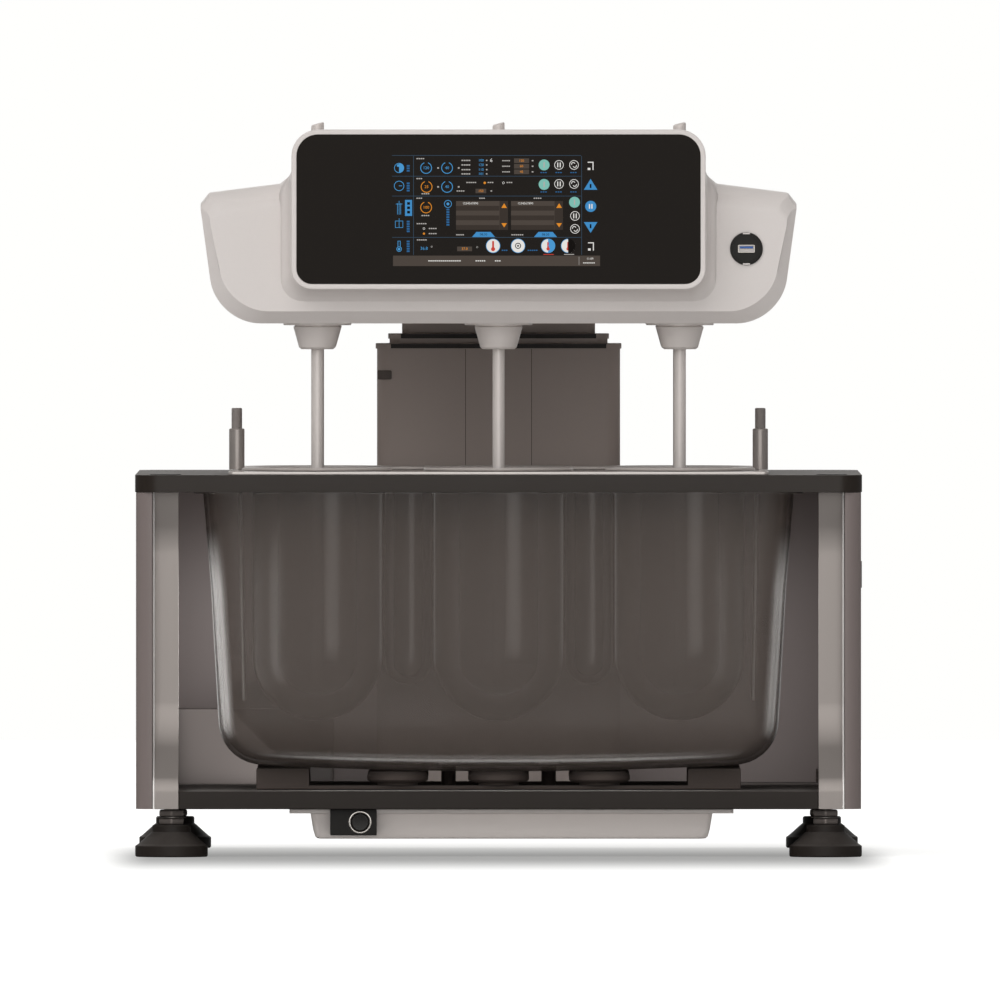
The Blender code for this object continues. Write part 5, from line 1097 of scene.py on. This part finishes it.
def bar(name, left, low, right, high, radius=0):
    addMark(name, rectangle((left, right), (low, high), radius, "y", 0, 3))


def spot(name, x, z, radius, lift=0):
    mark = bmesh.new()
    bmesh.ops.create_circle(mark, cap_ends=True, segments=display["roundSteps"], radius=radius)
    addMark(name, stand(mark, x, z), lift)


def halfDisc(name, x, z, radius, lift=0):
    mark = bmesh.new()
    bmesh.ops.create_circle(mark, cap_ends=True, segments=display["halfSteps"], radius=radius)
    bmesh.ops.bisect_plane(mark, geom=mark.verts[:] + mark.edges[:] + mark.faces[:], plane_co=(0, 0, 0),
                           plane_no=(-1, 0, 0), clear_outer=True)
    addMark(name, stand(mark, x, z), lift)


def hoop(name, x, z, radius, width, start=0, sweep=360, steps=32):
    # an arc of a ring, spun from one short edge
    mark = bmesh.new()
    ends = [mark.verts.new((radius - width, 0, 0)), mark.verts.new((radius, 0, 0))]
    edge = mark.edges.new(ends)
    rotate(mark, -math.radians(start), "Y")
    bmesh.ops.spin(
        mark, geom=ends + [edge], cent=(0, 0, 0), axis=(0, -1, 0), dvec=(0, 0, 0), angle=math.radians(sweep),
        steps=steps, use_merge=sweep == 360)
    shift(mark, (x, 0, z))
    addMark(name, mark)


def fan(name, *corners):
    addMark(name, section(corners, [0] * len(corners), "y", 0))


def figures(name, words, x, z, height):
    # plain figures, centred
    curve = bpy.data.curves.new("figures", "FONT")
    curve.body, curve.size = words, height
    curve.align_x = curve.align_y = "CENTER"
    curve.resolution_u = 2
    holder = newThing("figures", curve)
    mesh = bpy.data.meshes.new_from_object(holder)
    mark = bmesh.new()
    mark.from_mesh(mesh)
    addMark(name, stand(mark, x, z))
    bpy.data.objects.remove(holder)
    bpy.data.curves.remove(curve)
    bpy.data.meshes.remove(mesh)


def dashes(name, x, z, count, width=1.3, height=0.9, gap=0.4):
    # a label without letters: a short row of blocks
    for step in range(count):
        left = x + step * (width + gap)
        bar(name, left, z - height / 2, left + width, z + height / 2)


def drawAll(*groups):
    # each group is a kind of mark, its colour and its places
    for draw, name, places in groups:
        for place in places:
            draw(name, *place)


# frame lines and the status bar
drawAll(
    (bar, "line", [(-87.9, z - 0.2, 68.1, z + 0.2) for z in (578.9, 561.8, 545.4, 511.3)]),
    (bar, "line", [(x - 0.2, 496.8, x + 0.2, 578.5) for x in (-70.2, 68.6)]),
    (bar, "grey", [(-87.1, 487.6, 83.8, 496.2)]),
    (bar, "pale", [(66.3, 488.4, 66.6, 495.4)]),
    (dashes, "white", [(-58, 491.9, 16, 1.2, 0.9, 0.5), (-19, 491.9, 5, 1.2, 0.9, 0.5),
                       (-3, 491.9, 3, 1.2, 0.9, 0.5), (69.8, 490.2, 6, 1.2, 0.8, 0.5)]),
    (figures, "white", [("11:09", 75.5, 493.6, 2.6)]))

# menu icons on the left with their tabs
drawAll(
    (hoop, "blue", [(-82.1, 568.6, 4.1, 0.5), (-82.1, 553.8, 4.2, 0.5), (-82.1, 501.6, 2.2, 0.5)]),
    (halfDisc, "blue", [(-82.1, 568.6, 3.7)]),
    (spot, "blue", [(-82.9, 570.6, 1.1), (-82.1, 501.6, 1.1)]),
    (bar, "blue", [
        (-82.3, 553.6, -79.6, 554.1), (-83.6, 530.2, -83.2, 539.4), (-81.0, 530.2, -80.6, 539.4),
        (-84.8, 538.6, -79.4, 539.0), (-82.3, 530.0, -81.9, 541.4), (-85.4, 519.2, -78.8, 519.6),
        (-85.4, 524.6, -78.8, 525.0), (-82.3, 525.0, -81.9, 527.0), (-83.3, 503.6, -82.8, 508.2),
        (-81.4, 503.6, -80.9, 508.2), (-83.3, 508.0, -80.9, 508.4)]),
    (bar, "blue", [(x, 519.2, x + 0.4, 525.0) for x in (-85.4, -82.3, -79.2)]),
    (bar, "solid", [(-77.2, 529.0, -71.4, 542.2)]),
    (bar, "dark", [(-75.5, 538.2 - 3.6 * step, -73.1, 540.4 - 3.6 * step) for step in range(3)]))
for z, count in ((571.0, 3), (556.6, 4), (525.0, 5), (508.6, 5)):
    for step in range(count):
        bar("label", -75.8, z - 2 * step - 1.4, -73.4, z - 2 * step)

# ring gauges with plain figures
for x, z, words, name in ((-59.8, 568.6, "120", "blue"), (-42.5, 568.6, "40", "blue"),
                          (-42.5, 553.0, "40", "blue"), (-59.4, 553.0, "25", "orange"),
                          (-59.8, 536.0, "100", "orange")):
    hoop(name, x, z, 4.8, 0.6, 110, 320)
    figures(name, words, x, z, 3.4)
drawAll(
    (dashes, "pale", [
        (-67.8, 576.3, 4), (-67.8, 559.8, 3), (-67.8, 543.6, 3), (-63.6, 547.3, 4), (-63.6, 529.3, 4),
        (-67.6, 522.6, 5), (-67.4, 509.2, 5), (-57.6, 518.6, 4), (-57.6, 514.4, 4), (-26.6, 556.6, 5),
        (-9.0, 556.6, 3), (6.6, 556.6, 3), (-34.6, 549.6, 4), (-6.6, 549.6, 1), (-16.0, 543.6, 3),
        (29.0, 543.6, 4), (-35.0, 513.4, 4), (10.6, 513.4, 6)]),
    (dashes, "pale", [(x, z, 1, 1.4, 1.2) for x in (-50.6, -33.6) for z in (568.6, 553.0)]),
    (hoop, "white", [(-61.6, 518.6, 0.9, 0.3)]),
    (spot, "orange", [(-61.6, 514.4, 0.9)]),
    (hoop, "blue", [(-41.8, 538.9, 3.2, 0.5)]),
    (spot, "blue", [(-41.8, 538.9, 1.2)]),
    (bar, "label", [(-43.0, 533.6 - 2.1 * step, -40.6, 535.0 - 2.1 * step) for step in range(7)]))

# values in the middle
for z, words in ((574.8, "100"), (571.1, "120"), (567.2, "110"), (563.7, "101")):
    dashes("pale", -30.6, z, 4, 1.5, 1)
    figures("blue", words, -14.4, z, 3)
    bar("pale", -10.4, z - 0.5, -9.2, z + 0.5)
for z, words in ((574.6, "120"), (570.0, "60"), (565.4, "45")):
    dashes("pale", 3, z, 4)
    bar("grey", 12.8, z - 1.9, 25.2, z + 1.9)
    figures("orange", words, 19, z, 2.8)
    dashes("pale", 27.4, z, 1, 1.4, 1)
drawAll(
    (figures, "white", [("6", -6, 574.8, 4.4)]),
    (spot, "orange", [(-11.4, 556.3, 1)]),
    (hoop, "white", [(4, 556.3, 1, 0.3)]),
    (bar, "grey", [(-19, 547.8, -10.2, 551.4)]),
    (figures, "orange", [("150", -14.6, 549.6, 2.8)]))

# two lists with scroll columns
for left, right, tab in ((-35.1, 0.6, -21.9), (10.3, 46, 29.3)):
    bar("grey", left, 517.5, right + 7.2, 541.3)
    for step in range(3):
        z = 517.5 + 7.93 * step
        bar("dim", left, z, right, z + 3.96)
    bar("dim", right + 0.2, 517.5, right + 7.2, 541.3)
    middle = right + 4
    fan("orange", (middle - 2.3, 535.6), (middle + 2.3, 535.6), (middle, 539.4))
    fan("orange", (middle - 2.3, 523), (middle, 519.6), (middle + 2.3, 523))
    figures("white", "1234567890", (left + right) / 2 - 6, 539.3, 2.6)
    fan("solid", (tab, 511.6), (tab + 19, 511.6), (tab + 15.4, 515.8), (tab + 3.6, 515.8))
    figures("dark", "08:30", tab + 9.5, 513.6, 2.8)

# lower row
drawAll(
    (figures, "blue", [("36.8", -61.5, 502.1, 3.6)]),
    (hoop, "pale", [(-55.2, 503.6, 0.7, 0.25), (-17.6, 503.2, 0.7, 0.25)]),
    (bar, "grey", [(-34.2, 499.9, -21.9, 503.7)]),
    (figures, "orange", [("37.0", -28, 501.8, 3)]),
    (spot, "white", [(x, 504.3, 5.9) for x in (-4.5, 16.1, 40.9, 57.4)]),
    (hoop, "blue", [(x, 504.3, 5.9, 0.45) for x in (-4.5, 16.1, 40.9, 57.4)]),
    (bar, "red", [(-5.3, 502.0, -3.7, 508.4, 0.7), (40.2, 502.2, 41.6, 507.6, 0.6),
                  (56.7, 502.2, 58.1, 507.6, 0.6), (37.0, 496.9, 45.6, 497.5)]),
    (spot, "red", [(-4.5, 501.6, 1.7), (40.9, 501.8, 1.4), (57.4, 501.8, 1.4)]),
    (hoop, "dark", [(16.1, 504.3, 2.5, 0.7)]),
    (spot, "dark", [(16.1, 504.3, 0.8, 0.3)]),
    (halfDisc, "blue", [(40.9, 504.3, 5.9, 3)]),
    (halfDisc, "dark", [(57.4, 504.3, 5.9, 3)]),
    (bar, "pale", [(54.0, 496.9, 62.4, 497.5)]),
    (dashes, "label", [(2.6, 500.6, 3), (24.0, 500.6, 5)]))

# round keys on the right
for x, z in ((37.6, 571.1), (37.6, 555.0), (62.7, 540.3)):
    spot("teal", x, z, 4.5)
    bar("pale", x - 0.5, z - 2.2, x + 0.5, z + 2.2)
for x, z, paused in ((49.9, 571.1, True), (62.3, 571.1, False), (49.9, 555.4, True), (62.3, 555.4, False),
                     (63.1, 529.0, True), (63.1, 518.3, False)):
    hoop("white", x, z, 3.9, 0.5)
    if paused:
        bar("white", x - 1.5, z - 2, x - 0.6, z + 2)
        bar("white", x + 0.6, z - 2, x + 1.5, z + 2)
    else:
        hoop("white", x - 0.6, z + 0.6, 1.7, 0.6, 20, 180, 12)
        hoop("white", x + 0.6, z - 0.6, 1.7, 0.6, 200, 180, 12)
for x, z in ((76.0, 570.3), (76.3, 503.8)):
    bar("white", x - 2.4, z + 2.6, x + 2.4, z + 3.4)
    bar("white", x + 1.6, z - 3.4, x + 2.4, z + 3.4)
    bar("white", x - 2.4, z - 3.4, x - 0.2, z - 1.6)
fan("solid", (70.4, 550.6), (81.6, 550.6), (76.0, 559.5))
fan("solid", (70.4, 523.9), (76.0, 515.0), (81.6, 523.9))
drawAll(
    (dashes, "label", [(x, z, 3, 1.4, 0.8, 0.5) for z in (564.8, 548.8) for x in (34.6, 47.0, 59.2)]),
    (bar, "dark", [(75.3, 552.0, 76.7, 555.4), (75.3, 518.8, 76.7, 522.2)]),
    (spot, "solid", [(76.1, 536.9, 4.6)]),
    (bar, "white", [(74.6, 535.0, 75.6, 538.8), (76.6, 535.0, 77.6, 538.8)]))

for name in order:
    lampOf(f"lamp_{name}", lamps[name])
    addPiece(f"display_{name}", marks[name], f"lamp_{name}", "head", weighted=False)
print("display ready:", pieceCount, "pieces")

# floor, light and camera
studio = {
    "floor": (-6, 6), "floorHalf": 3, "floorShade": 0.45, "floorBounce": 0.85, "floorGlow": 0.75,
    "mirrorFloor": 0.12, "ambient": 0.2, "mirrorAmbient": 0.16, "backdrop": 1, "white": (1, 1, 0.985, 1),
    "warm": (1, 0.985, 0.97, 1), "shadeMiddle": -0.27, "shadeReach": 0.75, "shadeDepth": 0.6,
    "shadeSide": (0.285, 0.335), "perPixel": 0.8253, "distance": 36, "clipEnd": 200,
    "target": (0.0012, -0.22, 0.2946), "elevation": 0.57, "sunTarget": (0, 0, 0.3), "clearBounces": 24,
}


def rayMask(tree, *kinds):
    # 1 for the kinds of ray named
    path = addNode(tree, "LightPath").outputs
    mask = path[kinds[0]]
    for kind in kinds[1:]:
        mask = maths(tree, "MAXIMUM", mask, path[kind])
    return mask


def choose(tree, mask, other, chosen):
    # the second value where the mask is 1
    mix = addNode(tree, "Mix", {"Factor": mask, "A": other, "B": chosen}, data_type="FLOAT")
    return mix.outputs["Result"]


def placeParts(tree):
    return addNode(tree, "SeparateXYZ", {0: addNode(tree, "TexCoord").outputs["Object"]}).outputs


def fadeOut(tree, source, low, high, full=1):
    # full up to the first size of the source and nothing beyond the second
    return mapped(tree, maths(tree, "ABSOLUTE", source), low, high, full, 0, "SMOOTHSTEP")


def stagePlane(name, half, place, tone, glow):
    # a plain rectangle that isn't part of the object
    paint = bpy.data.materials.new(f"{name}Paint")
    paint.use_nodes = True
    shader = paint.node_tree.nodes["Principled BSDF"].inputs
    for label, value in (("Base Color", (tone,) * 3 + (1,)), ("Roughness", 1), ("Specular IOR Level", 0),
                         ("Emission Color", studio["white"]), ("Emission Strength", glow)):
        shader[label].default_value = value
    plane = bmesh.new()
    bmesh.ops.create_grid(plane, x_segments=1, y_segments=1, size=1)
    bmesh.ops.scale(plane, verts=plane.verts, vec=(*half, 1))
    shift(plane, place)
    mesh = meshOf(name, plane)
    mesh.materials.append(paint)
    thing = newThing(name, mesh)
    return thing, paint.node_tree, shader


# the floor is white to the camera, pale for the light that it throws back, and dark in mirrors
first, last = studio["floor"]
floorHalf, floorMiddle = (studio["floorHalf"], (last - first) / 2), (0, (first + last) / 2, 0)
tree, shader = stagePlane("floor", floorHalf, floorMiddle, studio["floorShade"], 0)[1:]
seen = rayMask(tree, "Is Camera Ray", "Is Transmission Ray")
thrown = choose(tree, rayMask(tree, "Is Glossy Ray"), studio["floorBounce"], studio["mirrorFloor"])
whole = choose(tree, seen, thrown, studio["floorShade"])
# a soft painted shadow lies along the front of the feet
parts = placeParts(tree)
away = maths(tree, "SUBTRACT", parts["Y"], studio["shadeMiddle"])
deep = fadeOut(tree, away, 0, studio["shadeReach"], studio["shadeDepth"])
across = fadeOut(tree, parts["X"], *studio["shadeSide"])
shadow = maths(tree, "MULTIPLY", maths(tree, "MULTIPLY", deep, across), seen)
left = maths(tree, "SUBTRACT", 1, shadow)
glow = maths(tree, "MULTIPLY", seen, studio["floorGlow"])
tree.links.new(maths(tree, "MULTIPLY", whole, left), shader["Base Color"])
tree.links.new(maths(tree, "MULTIPLY", glow, left), shader["Emission Strength"])

world = bpy.data.worlds.new("studio")
bpy.context.scene.world = world
world.use_nodes = True
tree = world.node_tree
tree.nodes.clear()
level = choose(tree, rayMask(tree, "Is Glossy Ray"), studio["ambient"], studio["mirrorAmbient"])
dim = addNode(tree, "Background", {"Color": studio["warm"], "Strength": level}).outputs[0]
bright = addNode(tree, "Background", {"Color": studio["white"], "Strength": studio["backdrop"]}).outputs[0]
seen = rayMask(tree, "Is Camera Ray", "Is Transmission Ray")
mixed = addNode(tree, "MixShader", {0: seen, 1: dim, 2: bright})
addNode(tree, "OutputWorld", {"Surface": mixed.outputs[0]})


def aim(thing, place, target):
    thing.location = place
    thing.rotation_euler = (Vector(target) - Vector(place)).to_track_quat("-Z", "Y").to_euler()


def addLight(name, kind, place, target, power, **settings):
    lamp = bpy.data.lights.new(name, kind)
    lamp.energy = power
    for key, value in settings.items():
        setattr(lamp, key, value)
    thing = newThing(name, lamp)
    aim(thing, place, target)
    return thing


def areaLight(name, place, target, size, power):
    thing = addLight(name, "AREA", place, target, power, shape="RECTANGLE", size=size[0], size_y=size[1])
    thing.visible_camera = False
    return thing


def softCard(name, place, target, half, fade, strength):
    # a card seen only in reflections, whose light fades towards its edges
    card, tree, shader = stagePlane(name, half, (0, 0, 0), 0, strength)
    parts = placeParts(tree)
    level = strength
    for side, soft, label in zip(half, fade, "XY"):
        level = maths(tree, "MULTIPLY", level, fadeOut(tree, parts[label], side - soft, side))
    tree.links.new(level, shader["Emission Strength"])
    aim(card, place, target)
    for key in ("visible_camera", "visible_diffuse", "visible_transmission", "visible_shadow"):
        setattr(card, key, False)


for name, place, power, widthAngle in (
        ("topSun", (0, 0.9, 1.3), 1.2, 60), ("highSun", (-0.35, -1, 1.8), 0.95, 50),
        ("frontFill", (0, -2, 0.75), 0.6, 60), ("leftSun", (-1.6, -0.9, 1), 0.4, 40),
        ("rightSun", (1.6, -0.7, 0.8), 0.25, 40)):
    sun = addLight(name, "SUN", place, studio["sunTarget"], power, angle=math.radians(widthAngle))
    sun.visible_glossy = False
areaLight("keyBox", (-1.4, -1.9, 1.6), (0, 0, 0.35), (1.2, 1.2), 5).visible_glossy = False
for side, power in ((-1, 0.18), (1, 0.1)):
    areaLight(f"innerGlow_{side}", (side * 0.19, 0.13, 0.15), (side * 0.21, 0.24, 0.13), (0.16, 0.2), power)
softCard("frontCard", (0, -3, 0.75), (0, 0, 0.75), (1.6, 0.95), (0.5, 0.2), 1.45)
softCard("backCard", (0, 3, 0.9), (0, 0, 0.9), (1.6, 1.3), (0.3, 0.3), 1)
areaLight("gapGlow", (0, 0.08, 0.066), (0, 0.3, 0.066), (0.44, 0.008), 0.04)
softCard("shelfCard", (0, -0.196, 0.0592), (0, -0.1961, 0.2), (0.23, 0.005), (0.12, 0.004), 6)
for side, share in ((-1, 1), (1, 0.5)):
    for name, y, halfWidth, fadeWidth, power in (("cornerCard", -0.183, 0.032, 0.02, 7),
                                                 ("edgeCard", -0.09, 0.08, 0.05, 1.3)):
        softCard(f"{name}_{side}", (side * 0.2615, y, 0.165), (0, y, 0.165), (halfWidth, 0.105),
                 (fadeWidth, 0.06), power * share)
# a soft stripe stands on each vessel and tube
for x in (-0.15, 0, 0.15):
    softCard(f"vesselCard_{x:.2f}", (x + 0.017, -0.189, 0.235), (x + 0.005, 0, 0.235), (0.012, 0.078),
             (0.008, 0.02), 1.6)
for x in (-0.075, 0.075):
    softCard(f"tubeCard_{x:.3f}", (x + 0.005, -0.077, 0.23), (x + 0.003, 0, 0.23), (0.005, 0.078),
             (0.003, 0.01), 1.4)

cameraData = bpy.data.cameras.new("camera")
cameraData.lens = cameraData.sensor_width * studio["distance"] / studio["perPixel"]
cameraData.clip_end = studio["clipEnd"]
camera = newThing("camera", cameraData)
bpy.context.scene.camera = camera
tilt = math.radians(studio["elevation"])
target = Vector(studio["target"])
aim(camera, target + studio["distance"] * Vector((0, -math.cos(tilt), math.sin(tilt))), target)

bpy.context.scene.view_settings.view_transform = "Standard"
bpy.context.scene.cycles.transparent_max_bounces = studio["clearBounces"]
print("studio ready")
